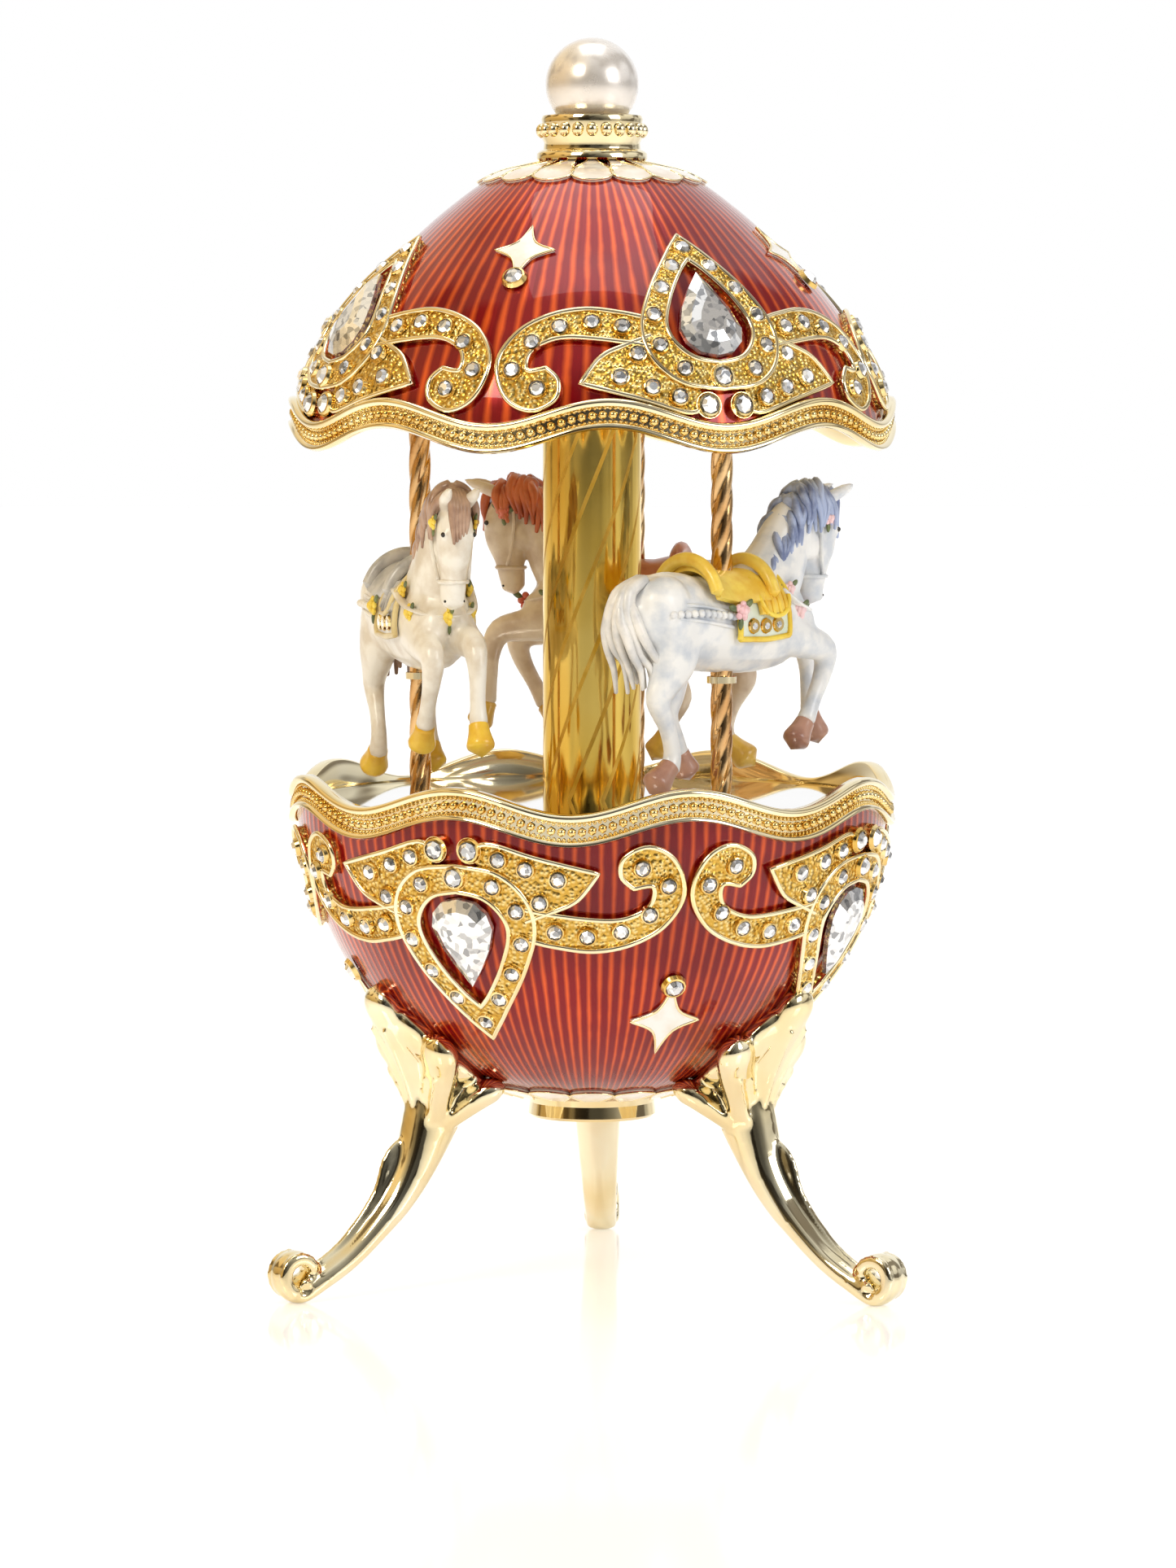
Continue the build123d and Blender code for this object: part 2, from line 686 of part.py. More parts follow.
with BuildPart() as mounting_posts:
    with BuildSketch(Plane.XY.offset(bedplate_bottom)):
        for place in post_places:
            with Locations((place.X, place.Y)):
                Circle(post_radius)
    extrude(amount=-20)
    add(filled_profile(offset_profile(bowl_profile, -shell_wall)), mode=Mode.INTERSECT)
    with BuildSketch(Plane.XY.offset(bedplate_bottom)):
        for place in post_places:
            with Locations((place.X, place.Y)):
                Circle(screw_radius)
    extrude(amount=-5, mode=Mode.SUBTRACT)
save(mounting_posts.part, "mounting_posts")

with BuildPart() as bedplate_screws:
    for place in post_places:
        with BuildSketch(Plane.XY.offset(bedplate_bottom - 5)):
            with Locations((place.X, place.Y)):
                Circle(screw_radius)
        extrude(amount=5 + bedplate_thickness)
        with BuildSketch(Plane.XY.offset(bedplate_top)):
            with Locations((place.X, place.Y)):
                Circle(1.6)
                Rectangle(0.4, 3.4, mode=Mode.SUBTRACT)
        extrude(amount=0.9)
save(bedplate_screws.part, "bedplate_screws")

# ---- spring barrel, crown gear and output spindle, all on the main axis ----
crown_teeth = 36
crown_module = 0.5
crown_tip = 53.6
crown_disc = 1.0
crown_top = barrel_top + crown_disc
tooth_share = 0.78  # part of half a pitch that a tooth fills
spindle_radius = 2.0
flange_bottom = 63.6
rod_bottom = 60.0

with BuildPart() as spring_barrel:
    with BuildSketch(Plane.XZ):
        Polygon((arbor_radius + fit, barrel_bottom), (barrel_radius, barrel_bottom), (barrel_radius, barrel_top),
                (barrel_radius - 0.8, barrel_top), (barrel_radius - 0.8, barrel_bottom + 0.8),
                (arbor_radius + fit, barrel_bottom + 0.8), align=None)
    revolve(axis=Axis.Z)
save(spring_barrel.part, "spring_barrel")

spring_turns = 6
spring_inner, spring_outer, spring_leaf = 3.0, 9.2, 0.3


def spiral(extra):
    """Points of a flat spiral, eight to a turn."""
    steps = 8 * spring_turns
    return [((spring_inner + extra + (spring_outer - spring_leaf - spring_inner) * i / steps) * cos(pi * i / 4),
             (spring_inner + extra + (spring_outer - spring_leaf - spring_inner) * i / steps) * sin(pi * i / 4))
            for i in range(steps + 1)]


with BuildPart() as mainspring:
    with BuildSketch(Plane.XY.offset(barrel_bottom + 1.0)):
        with BuildLine():
            inner_edge = Spline(*spiral(0))
            outer_edge = Spline(*spiral(spring_leaf))
            Line(inner_edge @ 0, outer_edge @ 0)
            Line(inner_edge @ 1, outer_edge @ 1)
        make_face()
    extrude(amount=3.4)
save(mainspring.part, "mainspring")

tooth_half = 0.25 * pi * crown_module * tooth_share
with BuildPart() as crown_tooth:
    with BuildSketch(Plane.YZ.offset(8.2)):
        Polygon((-1.25 * tooth_half, crown_top), (1.25 * tooth_half, crown_top), (0.55 * tooth_half, crown_tip),
                (-0.55 * tooth_half, crown_tip), align=None)
    extrude(amount=2.0)

with BuildPart() as crown_gear:
    with BuildSketch(Plane.XY.offset(barrel_top)):
        Circle(barrel_radius)
    extrude(amount=crown_disc)
    with PolarLocations(0, crown_teeth):
        add(crown_tooth.part)
save(crown_gear.part, "crown_gear")

with BuildPart() as output_spindle:
    with BuildSketch(Plane.XY.offset(crown_top)):
        Circle(spindle_radius)
    extrude(amount=deck_bottom - crown_top)
    with BuildSketch(Plane.XY.offset(flange_bottom)):
        Circle(7.0)
    extrude(amount=deck_bottom - flange_bottom)
    with BuildSketch(Plane.XY.offset(rod_bottom)):
        Circle(tie_rod_radius)
    extrude(amount=deck_bottom - rod_bottom, mode=Mode.SUBTRACT)
save(output_spindle.part, "output_spindle")
save(disc(tie_rod_radius, rod_bottom, pearl_centre - pearl_radius + 5.0 - rod_bottom), "tie_rod")

# ---- pinned cylinder, on a level arbor along +X ----
cylinder_height = 56.1
cylinder_radius = 5.2
cylinder_start, cylinder_end = 12.6, 26.4
pin_radius, pin_length = 0.22, 0.55
pinion_teeth = 12
wheel_teeth = 32
train_module = 0.4
idler_teeth = 10
worm_wheel_teeth = 20
bearing_radius = 0.8
idler_aside = 8.0
centre_distance = 0.5 * train_module * (wheel_teeth + idler_teeth)
idler_height = cylinder_height - (centre_distance ** 2 - idler_aside ** 2) ** 0.5
line_of_centres = degrees(atan2(idler_height - cylinder_height, idler_aside))


def cross_plane(x, y, z):
    """Plane square to +X, with y to the right and z up."""
    return Plane(origin=(x, y, z), x_dir=(0, 1, 0), z_dir=(1, 0, 0))


def gear(plane, width, teeth, module, turn, bore):
    """A straight-toothed wheel with a small working clearance."""
    pitch = 0.5 * module * teeth
    root, tip = pitch - 1.15 * module, pitch + 0.9 * module
    half = 0.25 * pi * module * tooth_share
    with BuildPart() as wheel:
        with BuildSketch(plane):
            Circle(root)
            with PolarLocations(0, teeth, start_angle=turn):
                Polygon((0.8 * root, 1.25 * half), (root, 1.25 * half), (tip, 0.55 * half),
                        (tip, -0.55 * half), (root, -1.25 * half), (0.8 * root, -1.25 * half), align=None)
            Circle(bore, mode=Mode.SUBTRACT)
        extrude(amount=width)
    return wheel.part


def rod(x, y, z, radius, length):
    """A round bar along +X."""
    with BuildPart() as bar:
        with BuildSketch(cross_plane(x, y, z)):
            Circle(radius)
        extrude(amount=length)
    return bar.part


save(rod(7.0, 0, cylinder_height, bearing_radius, 22.4), "cylinder_arbor")
save(gear(cross_plane(7.8, 0, cylinder_height), 2.4, pinion_teeth, crown_module, 15, bearing_radius),
     "cylinder_pinion")
save(gear(cross_plane(26.6, 0, cylinder_height), 0.8, wheel_teeth, train_module, line_of_centres, bearing_radius),
     "cylinder_wheel")

tones = 18
tone_pitch = (cylinder_end - cylinder_start) / tones
with BuildPart() as music_cylinder:
    with BuildSketch(cross_plane(cylinder_start, 0, cylinder_height)):
        Circle(cylinder_radius)
        Circle(bearing_radius, mode=Mode.SUBTRACT)
    extrude(amount=cylinder_end - cylinder_start)
    for tone in range(tones):
        for beat in range(2):
            a = radians(95 * tone + 170 * beat + 35)
            out = Vector(0, cos(a), sin(a))
            foot = Vector(cylinder_start + tone_pitch * (tone + 0.5), 0, cylinder_height)
            with BuildSketch(Plane(origin=foot + out * (cylinder_radius - 0.3), z_dir=out)):
                Circle(pin_radius)
            extrude(amount=0.3 + pin_length)
save(music_cylinder.part, "music_cylinder")

# ---- comb on its base ----
comb_thickness = 0.8
comb_bottom = cylinder_height - 0.5 * comb_thickness
comb_tip = -(cylinder_radius + pin_length + 0.15)
comb_back = -17.0
comb_slot_end = -13.2
comb_screw_places = [(15.0, -15.2), (19.5, -15.2), (24.0, -15.2)]

with BuildPart() as comb:
    with BuildSketch(Plane.XY.offset(comb_bottom)):
        with Locations((0.5 * (cylinder_start + cylinder_end), 0.5 * (comb_tip + comb_back))):
            Rectangle(cylinder_end - cylinder_start, comb_tip - comb_back)
        for gap in range(1, tones):
            with Locations((cylinder_start + tone_pitch * gap, 0.5 * (comb_tip + comb_slot_end))):
                Rectangle(0.18, comb_tip - comb_slot_end, mode=Mode.SUBTRACT)
        with Locations(*comb_screw_places):
            Circle(screw_radius, mode=Mode.SUBTRACT)
    extrude(amount=comb_thickness)
save(comb.part, "comb")

with BuildPart() as comb_base:
    with BuildSketch(Plane.XY.offset(bedplate_top)):
        with Locations((0.5 * (cylinder_start + cylinder_end), 0.5 * (comb_slot_end + comb_back) - 0.3)):
            Rectangle(cylinder_end - cylinder_start, comb_slot_end - comb_back - 0.6)
    extrude(amount=comb_bottom - bedplate_top)
    with BuildSketch(Plane.XY.offset(comb_bottom)):
        with Locations(*comb_screw_places):
            Circle(screw_radius)
    extrude(amount=-3, mode=Mode.SUBTRACT)
save(comb_base.part, "comb_base")

with BuildPart() as comb_screws:
    with BuildSketch(Plane.XY.offset(comb_bottom - 3)):
        with Locations(*comb_screw_places):
            Circle(screw_radius)
    extrude(amount=3 + comb_thickness)
    with BuildSketch(Plane.XY.offset(comb_bottom + comb_thickness)):
        with Locations(*comb_screw_places):
            Circle(1.5)
    extrude(amount=0.8)
save(comb_screws.part, "comb_screws")

# ---- bearing brackets, idler and governor ----
bracket_top = 59.5
worm_wheel_start = 28.9
worm_wheel_width = 0.8
governor_x = worm_wheel_start + 0.5 * worm_wheel_width
worm_pitch = pi * train_module
governor_y = idler_aside + 0.5 * train_module * worm_wheel_teeth + 1.3
worm_core = 0.85
thread_radius = 1.5
worm_bottom = idler_height - 2.25 * worm_pitch
worm_turns = 4.5
journal = 0.4
arm_thickness = 1.0
lower_arm, upper_arm = 48.2, 58.6


def bracket(x, width, left, right, bearings):
    """An upright plate on the bedplate with bearing holes."""
    with BuildPart() as plate:
        with BuildSketch(cross_plane(x, 0, 0)):
            Polygon((left, bedplate_top), (right, bedplate_top), (right, bracket_top - 2), (right - 2, bracket_top),
                    (left + 2, bracket_top), (left, bracket_top - 2), align=None)
            for y, z in bearings:
                with Locations((y, z)):
                    Circle(bearing_radius + fit, mode=Mode.SUBTRACT)
        extrude(amount=width)
    return plate.part


save(bracket(11.2, 1.0, -3.5, 3.5, [(0, cylinder_height)]), "inner_bracket")
save(bracket(27.8, 0.8, -3.5, 10.4, [(0, cylinder_height), (idler_aside, idler_height)]), "outer_bracket")

with BuildPart() as idler_pinion:
    add(gear(cross_plane(26.6, idler_aside, idler_height), 0.8, idler_teeth, train_module,
             line_of_centres + 180 + 18, 0.2))
    add(rod(26.0, idler_aside, idler_height, bearing_radius, 4.2))
save(idler_pinion.part, "idler_pinion")
save(gear(cross_plane(worm_wheel_start, idler_aside, idler_height), worm_wheel_width, worm_wheel_teeth,
          train_module, 0, bearing_radius), "worm_wheel")

with BuildPart() as governor_frame:
    with BuildSketch(Plane.XY.offset(bedplate_top)):
        with Locations((24.0, governor_y)):
            Rectangle(3.0, 2.2)
    extrude(amount=upper_arm + arm_thickness - bedplate_top)
    for level in (lower_arm, upper_arm):
        with BuildSketch(Plane.XY.offset(level)):
            with Locations((0.5 * (24.0 + governor_x + 1.1), governor_y)):
                Rectangle(governor_x + 1.1 - 24.0, 2.2)
            with Locations((governor_x, governor_y)):
                Circle(journal + fit, mode=Mode.SUBTRACT)
        extrude(amount=arm_thickness)
save(governor_frame.part, "governor_frame")

with BuildPart() as governor_worm:
    with BuildSketch(Plane.XY.offset(lower_arm + arm_thickness + 0.1)):
        with Locations((governor_x, governor_y)):
            Circle(worm_core)
    extrude(amount=upper_arm - lower_arm - arm_thickness - 0.2)
    with BuildSketch(Plane.XY.offset(lower_arm)):
        with Locations((governor_x, governor_y)):
            Circle(journal)
    extrude(amount=upper_arm + arm_thickness - lower_arm)
    with BuildLine():
        Helix(pitch=worm_pitch, height=worm_turns * worm_pitch, radius=worm_core,
              center=(governor_x, governor_y, worm_bottom))
    with BuildSketch(Plane(origin=(governor_x, governor_y, worm_bottom), x_dir=(1, 0, 0), z_dir=(0, 1, 0))):
        Polygon((worm_core - 0.15, 0.3), (thread_radius, 0.16), (thread_radius, -0.16), (worm_core - 0.15, -0.3),
                align=None)
    sweep(is_frenet=True)
save(governor_worm.part, "governor_worm")

with BuildPart() as governor_fan:
    with BuildSketch(Plane.XY.offset(56.9)):
        with Locations((governor_x, governor_y)):
            Rectangle(4.6, 0.3)
            Circle(1.3)
            Circle(worm_core, mode=Mode.SUBTRACT)
    extrude(amount=1.5)
save(governor_fan.part, "governor_fan")
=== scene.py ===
import json
import random
from math import atan2, cos, degrees, hypot, pi, radians, sin

import bmesh
import bpy
from mathutils import Matrix, Vector


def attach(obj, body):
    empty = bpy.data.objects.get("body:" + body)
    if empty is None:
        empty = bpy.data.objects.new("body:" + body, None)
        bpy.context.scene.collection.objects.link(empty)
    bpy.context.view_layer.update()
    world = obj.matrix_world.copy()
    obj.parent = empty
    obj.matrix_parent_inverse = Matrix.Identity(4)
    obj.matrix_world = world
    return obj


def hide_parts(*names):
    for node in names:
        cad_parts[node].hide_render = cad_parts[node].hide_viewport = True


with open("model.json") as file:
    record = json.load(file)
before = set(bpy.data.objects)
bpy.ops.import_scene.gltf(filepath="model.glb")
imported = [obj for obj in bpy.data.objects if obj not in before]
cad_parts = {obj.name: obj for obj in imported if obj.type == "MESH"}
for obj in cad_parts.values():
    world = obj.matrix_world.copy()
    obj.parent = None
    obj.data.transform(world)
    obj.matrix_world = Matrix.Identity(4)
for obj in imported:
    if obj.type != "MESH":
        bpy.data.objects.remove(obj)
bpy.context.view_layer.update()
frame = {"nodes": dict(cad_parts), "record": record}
mm = 0.001
rng = random.Random(7)
scene = bpy.context.scene
scene.view_settings.view_transform = "Standard"


# materials
def nodeMaterial(name, color, roughness=0.3, metallic=0.0, **sockets):
    mat = bpy.data.materials.new(name)
    mat.use_nodes = True
    shader = mat.node_tree.nodes["Principled BSDF"]
    shader.inputs["Base Color"].default_value = (*color, 1)
    shader.inputs["Roughness"].default_value = roughness
    shader.inputs["Metallic"].default_value = metallic
    for socket, value in sockets.items():
        shader.inputs[socket.replace("_", " ")].default_value = value
    return mat, mat.node_tree, shader


def addNode(tree, kind, inputs=None, **settings):
    node = tree.nodes.new(kind)
    for key, value in settings.items():
        setattr(node, key, value)
    for key, value in (inputs or {}).items():
        if isinstance(value, bpy.types.NodeSocket):
            tree.links.new(value, node.inputs[key])
        else:
            node.inputs[key].default_value = value
    return node


def objectPoint(tree):
    return addNode(tree, "ShaderNodeTexCoord").outputs["Object"]


def noiseOf(tree, scale, detail=3.0):
    return addNode(tree, "ShaderNodeTexNoise", {"Vector": objectPoint(tree), "Scale": scale,
                                                "Detail": detail})


def rampOf(tree, fac, stops):
    ramp = addNode(tree, "ShaderNodeValToRGB", {"Fac": fac})
    elements = ramp.color_ramp.elements
    while len(elements) < len(stops):
        elements.new(0.5)
    for element, (place, color) in zip(elements, stops):
        element.position = place
        element.color = (*color, 1)
    return ramp.outputs["Color"]


def mathOf(tree, operation, a, b=0.0):
    return addNode(tree, "ShaderNodeMath", {0: a, 1: b}, operation=operation).outputs[0]


def mixOf(tree, amount, first, second, blend="MIX"):
    return addNode(tree, "ShaderNodeMix", {0: amount, 6: first, 7: second}, data_type="RGBA",
                   blend_type=blend).outputs[2]


def halfRange(tree, value):
    # takes -1 to 1 into 0 to 1
    return addNode(tree, "ShaderNodeMath", {0: value, 1: 0.5, 2: 0.5}, operation="MULTIPLY_ADD").outputs[0]


def bumpOf(tree, shader, height, strength, distance, socket="Normal"):
    bump = addNode(tree, "ShaderNodeBump", {"Height": height, "Strength": strength, "Distance": distance})
    tree.links.new(bump.outputs["Normal"], shader.inputs[socket])


def metal(name, dark, light, roughness, patches=60.0, grain=0.0, grainScale=900.0):
    mat, tree, shader = nodeMaterial(name, light, roughness, 1.0)
    patch = noiseOf(tree, patches)
    tone = rampOf(tree, patch.outputs["Fac"], [(0.35, dark), (0.65, light)])
    tree.links.new(tone, shader.inputs["Base Color"])
    rough = addNode(tree, "ShaderNodeMapRange", {"Value": noiseOf(tree, patches * 9).outputs["Fac"],
                                                 "To Min": roughness * 0.7, "To Max": roughness * 1.4})
    tree.links.new(rough.outputs["Result"], shader.inputs["Roughness"])
    if grain:
        bumpOf(tree, shader, noiseOf(tree, grainScale).outputs["Fac"], grain, 0.1 * mm)
    return mat


def pebbled(name, dark, light):
    # the sunk field of a casting, tooled all over with small grains, with painted shade in the low gaps
    # between the grains
    mat, tree, shader = nodeMaterial(name, light, 0.28, 1.0)
    cells = addNode(tree, "ShaderNodeTexVoronoi", {"Vector": objectPoint(tree), "Scale": 1500.0})
    # painted shade: light on the grain tops, darker down in the gaps between grains
    tone = rampOf(tree, cells.outputs["Distance"], [(0.1, light), (0.6, dark)])
    tree.links.new(tone, shader.inputs["Base Color"])
    height = mathOf(tree, "SUBTRACT", 1.0, cells.outputs["Distance"])
    bumpOf(tree, shader, height, 0.9, 0.35 * mm)
    return mat


def flutedEnamel(name, flutes, deep, glow):
    # clear red over a fluted ground: fine bright rays between darker red, partly the red's own ray pattern
    # over the flutes and partly painted glints of light off the fluted metal
    mat, tree, shader = nodeMaterial(name, deep, 0.16, 0.3, Coat_Weight=0.8, Coat_Roughness=0.03, IOR=1.35,
                                     Coat_IOR=1.4, Specular_IOR_Level=0.2)
    parts = addNode(tree, "ShaderNodeSeparateXYZ", {"Vector": objectPoint(tree)})
    angle = mathOf(tree, "ARCTAN2", parts.outputs["X"], parts.outputs["Y"])
    wobble = noiseOf(tree, 90.0, 2.0).outputs["Fac"]
    turns = mathOf(tree, "MULTIPLY", angle, flutes / (2 * pi))
    turns = mathOf(tree, "ADD", turns, mathOf(tree, "MULTIPLY", wobble, 0.35))
    ray = mathOf(tree, "PINGPONG", turns, 0.5)
    streak = mathOf(tree, "MULTIPLY", noiseOf(tree, 230.0, 4.0).outputs["Fac"], 0.26)
    ray = mathOf(tree, "ADD", ray, mathOf(tree, "SUBTRACT", streak, 0.13))
    mid = tuple(0.6 * d + 0.4 * g for d, g in zip(deep, glow))
    # the bright orange end of each ray is partly painted glint of light off the fluted ground
    rays = rampOf(tree, ray, [(0.0, deep), (0.22, deep), (0.34, mid), (0.47, glow)])
    cloud = rampOf(tree, noiseOf(tree, 45.0).outputs["Fac"],
                   [(0.3, (0.55, 0.45, 0.45)), (0.7, (1.1, 1.0, 1.0))])
    tree.links.new(mixOf(tree, 1.0, rays, cloud, "MULTIPLY"), shader.inputs["Base Color"])
    bumpOf(tree, shader, ray, 0.35, 0.25 * mm)
    bumpOf(tree, shader, noiseOf(tree, 120.0).outputs["Fac"], 0.12, 0.25 * mm, "Coat Normal")
    return mat


def whiteEnamel(name, base, shade):
    mat, tree, shader = nodeMaterial(name, base, 0.22, 0.0, Coat_Weight=0.7, Coat_Roughness=0.04)
    tone = rampOf(tree, noiseOf(tree, 260.0, 5.0).outputs["Fac"], [(0.35, shade), (0.6, base)])
    tree.links.new(tone, shader.inputs["Base Color"])
    bumpOf(tree, shader, noiseOf(tree, 500.0).outputs["Fac"], 0.1, 0.1 * mm)
    return mat


def cutStone(name):
    # mirrored back seen through clear facets, with painted reflections: each small region is painted lighter
    # or darker as if its facet caught the light or missed it
    mat, tree, shader = nodeMaterial(name, (0.9, 0.92, 0.95), 0.04, 0.75, Coat_Weight=1.0,
                                     Coat_Roughness=0.01)
    cells = addNode(tree, "ShaderNodeTexVoronoi", {"Vector": objectPoint(tree), "Scale": 1250.0})
    tone = rampOf(tree, cells.outputs["Color"], [(0.2, (0.34, 0.35, 0.37)), (0.4, (0.8, 0.81, 0.83)),
                                                 (0.6, (1.0, 1.0, 1.0))])
    tree.links.new(tone, shader.inputs["Base Color"])
    return mat


def paintedResin(name, base, shade, roughness=0.3, fine=300.0):
    mat, tree, shader = nodeMaterial(name, base, roughness, 0.0, Coat_Weight=0.25, Coat_Roughness=0.15)
    tone = rampOf(tree, noiseOf(tree, fine, 6.0).outputs["Fac"], [(0.36, shade), (0.58, base)])
    tree.links.new(tone, shader.inputs["Base Color"])
    bumpOf(tree, shader, noiseOf(tree, 1100.0).outputs["Fac"], 0.12, 0.1 * mm)
    return mat


goldTones = {"dark": (0.72, 0.46, 0.11), "light": (0.93, 0.76, 0.40), "pale": (0.95, 0.86, 0.62)}
polishedGold = metal("polishedGold", (0.86, 0.70, 0.38), goldTones["pale"], 0.07)
legGold = metal("legGold", (0.84, 0.70, 0.40), (0.93, 0.85, 0.62), 0.06)
beadGold = metal("beadGold", goldTones["dark"], goldTones["light"], 0.12, 120.0)
fieldGold = pebbled("fieldGold", (0.62, 0.38, 0.07), (0.95, 0.78, 0.36))
columnGold = metal("columnGold", (0.80, 0.50, 0.06), (0.93, 0.68, 0.18), 0.10, 40.0)
# stripeGold: the engraved stripes are rougher satin metal, and their darker tone is painted shade in the
# grooves
stripeGold = metal("stripeGold", (0.62, 0.36, 0.04), (0.78, 0.50, 0.10), 0.42, 300.0, 0.5)
copperGold = metal("copperGold", (0.60, 0.32, 0.12), (0.88, 0.60, 0.30), 0.16, 90.0, 0.2)
mirrorSilver = metal("mirrorSilver", (0.86, 0.85, 0.84), (0.93, 0.93, 0.93), 0.04, 30.0)
steelMetal = metal("steelMetal", (0.45, 0.45, 0.47), (0.65, 0.65, 0.67), 0.3, 200.0, 0.3)
brassMetal = metal("brassMetal", (0.60, 0.42, 0.16), (0.78, 0.60, 0.28), 0.28, 200.0, 0.3)
roofEnamel = flutedEnamel("roofEnamel", 96, (0.27, 0.003, 0.007), (0.84, 0.13, 0.02))
bowlEnamel = flutedEnamel("bowlEnamel", 144, (0.25, 0.003, 0.007), (0.80, 0.12, 0.02))
creamEnamel = whiteEnamel("creamEnamel", (0.94, 0.90, 0.82), (0.82, 0.72, 0.60))
starEnamel = whiteEnamel("starEnamel", (0.96, 0.94, 0.90), (0.86, 0.80, 0.70))
clearStone = cutStone("clearStone")
pearlFinish = metal("pearlFinish", (0.80, 0.74, 0.68), (0.88, 0.84, 0.80), 0.24, 60.0)
pearlShader = pearlFinish.node_tree.nodes["Principled BSDF"]
pearlShader.inputs["Metallic"].default_value = 0.55
pearlShader.inputs["Coat Weight"].default_value = 0.6
knobResin = paintedResin("knobResin", (0.80, 0.62, 0.56), (0.70, 0.50, 0.45), 0.25)


# making pieces
def finishPiece(name, bm, mats, body, replaced=(), smooth=True, sharp=40):
    bmesh.ops.scale(bm, vec=(mm, mm, mm), verts=bm.verts)
    mesh = bpy.data.meshes.new(name)
    bm.to_mesh(mesh)
    bm.free()
    piece = bpy.data.objects.new(name, mesh)
    scene.collection.objects.link(piece)
    for mat in (mats if isinstance(mats, (list, tuple)) else [mats]):
        mesh.materials.append(mat)
    for face in mesh.polygons:
        face.use_smooth = smooth
    if smooth and sharp:
        mesh.set_sharp_from_angle(angle=radians(sharp))
    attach(piece, body)
    if replaced:
        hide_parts(*replaced)
    return piece


def mergeInto(target, source, mat=0):
    # adds one bmesh to another
    mesh = bpy.data.meshes.new("part")
    for face in source.faces:
        face.material_index = mat
    source.to_mesh(mesh)
    source.free()
    target.from_mesh(mesh)
    bpy.data.meshes.remove(mesh)


def smoothRun(points, steps=8):
    # smooth open line through a few points
    out = []
    for i in range(len(points) - 1):
        p0 = Vector(points[max(i - 1, 0)])
        p1, p2 = Vector(points[i]), Vector(points[i + 1])
        p3 = Vector(points[min(i + 2, len(points) - 1)])
        for s in range(steps):
            t = s / steps
            out.append(0.5 * (2 * p1 + (p2 - p0) * t + (2 * p0 - 5 * p1 + 4 * p2 - p3) * t * t
                              + (3 * p1 - p0 - 3 * p2 + p3) * t ** 3))
    out.append(Vector(points[-1]))
    return out


def spunShell(profile, segments=256):
    # a profile of radius and height turned round the axis
    bm = bmesh.new()
    verts = [bm.verts.new((r, 0, z)) for r, z in profile]
    edges = [bm.edges.new(pair) for pair in zip(verts, verts[1:])]
    bmesh.ops.spin(bm, geom=verts + edges, cent=(0, 0, 0), axis=(0, 0, 1), angle=2 * pi, steps=segments,
                   use_merge=True)
    bmesh.ops.remove_doubles(bm, verts=bm.verts, dist=0.001)
    bmesh.ops.recalc_face_normals(bm, faces=bm.faces)
    return bm


def around(radius, azimuth, height=0.0):
    a = radians(azimuth)
    return Vector((radius * sin(a), -radius * cos(a), height))


bowlPoints = [(8.2, 25.7), (12.0, 26.5), (21.0, 30.5), (29.0, 37.5), (34.6, 45.5), (38.2, 53.6), (40.4, 62.0),
              (40.9, 67.4)]
domePoints = [(4.0, 154.9), (9.0, 154.0), (14.1, 152.5), (20.0, 148.3), (25.3, 143.6), (30.0, 139.0),
              (33.8, 134.5), (36.9, 129.5), (39.2, 124.5), (40.5, 118.9)]
shellWall = 1.2
bowlLine = [(v.x, v.y) for v in smoothRun(bowlPoints, 12)]
domeLine = [(v.x, v.y) for v in smoothRun(domePoints, 12)]


def radiusAt(line, z):
    for (r0, z0), (r1, z1) in zip(line, line[1:]):
        if min(z0, z1) <= z <= max(z0, z1):
            return r0 + (r1 - r0) * (z - z0) / ((z1 - z0) or 1)
    ends = sorted((line[0], line[-1]), key=lambda p: p[1])
    return ends[0][0] if z < ends[0][1] else ends[1][0]


def surfacePoint(line, azimuth, z, lift):
    # a point above a shell, measured along its normal
    dr = radiusAt(line, z + 0.5) - radiusAt(line, z - 0.5)
    tilt = atan2(-dr, 1.0)
    r = radiusAt(line, z) + lift * cos(tilt)
    return around(r, azimuth, z + lift * sin(tilt)), tilt


def innerLine(line, wall):
    out = []
    for i, (r, z) in enumerate(line):
        r0, z0 = line[max(i - 1, 0)]
        r1, z1 = line[min(i + 1, len(line) - 1)]
        length = hypot(r1 - r0, z1 - z0)
        side = 1 if z1 > z0 else -1
        out.append((r - side * wall * (z1 - z0) / length, z + side * wall * (r1 - r0) / length))
    return out


def closedWall(line, wall):
    inside = innerLine(line, wall)
    return line + inside[::-1] + [line[0]]


# enamelled shells
def goldInside(piece, height):
    # faces that look towards a point inside the shell are bare gold
    middle = Vector((0, 0, height * mm))
    for face in piece.data.polygons:
        face.material_index = 1 if face.normal.dot(middle - face.center) > 0 else 0


for name, line, mat, body, replaced, middle in (("bowl_enamel", bowlLine, bowlEnamel, "stand", "bowl_shell",
                                                 68),
                                                ("roof_enamel", domeLine, roofEnamel, "carousel",
                                                 "roof_shell", 116)):
    shell = finishPiece(name, spunShell(closedWall(line, shellWall)), [mat, polishedGold], body,
                        [replaced])
    goldInside(shell, middle)
print("shells made")

# wavy beaded rims
rim = {"waves": 8, "rise": 1.64, "beadPitch": 1.36, "beadRadius": 0.66}


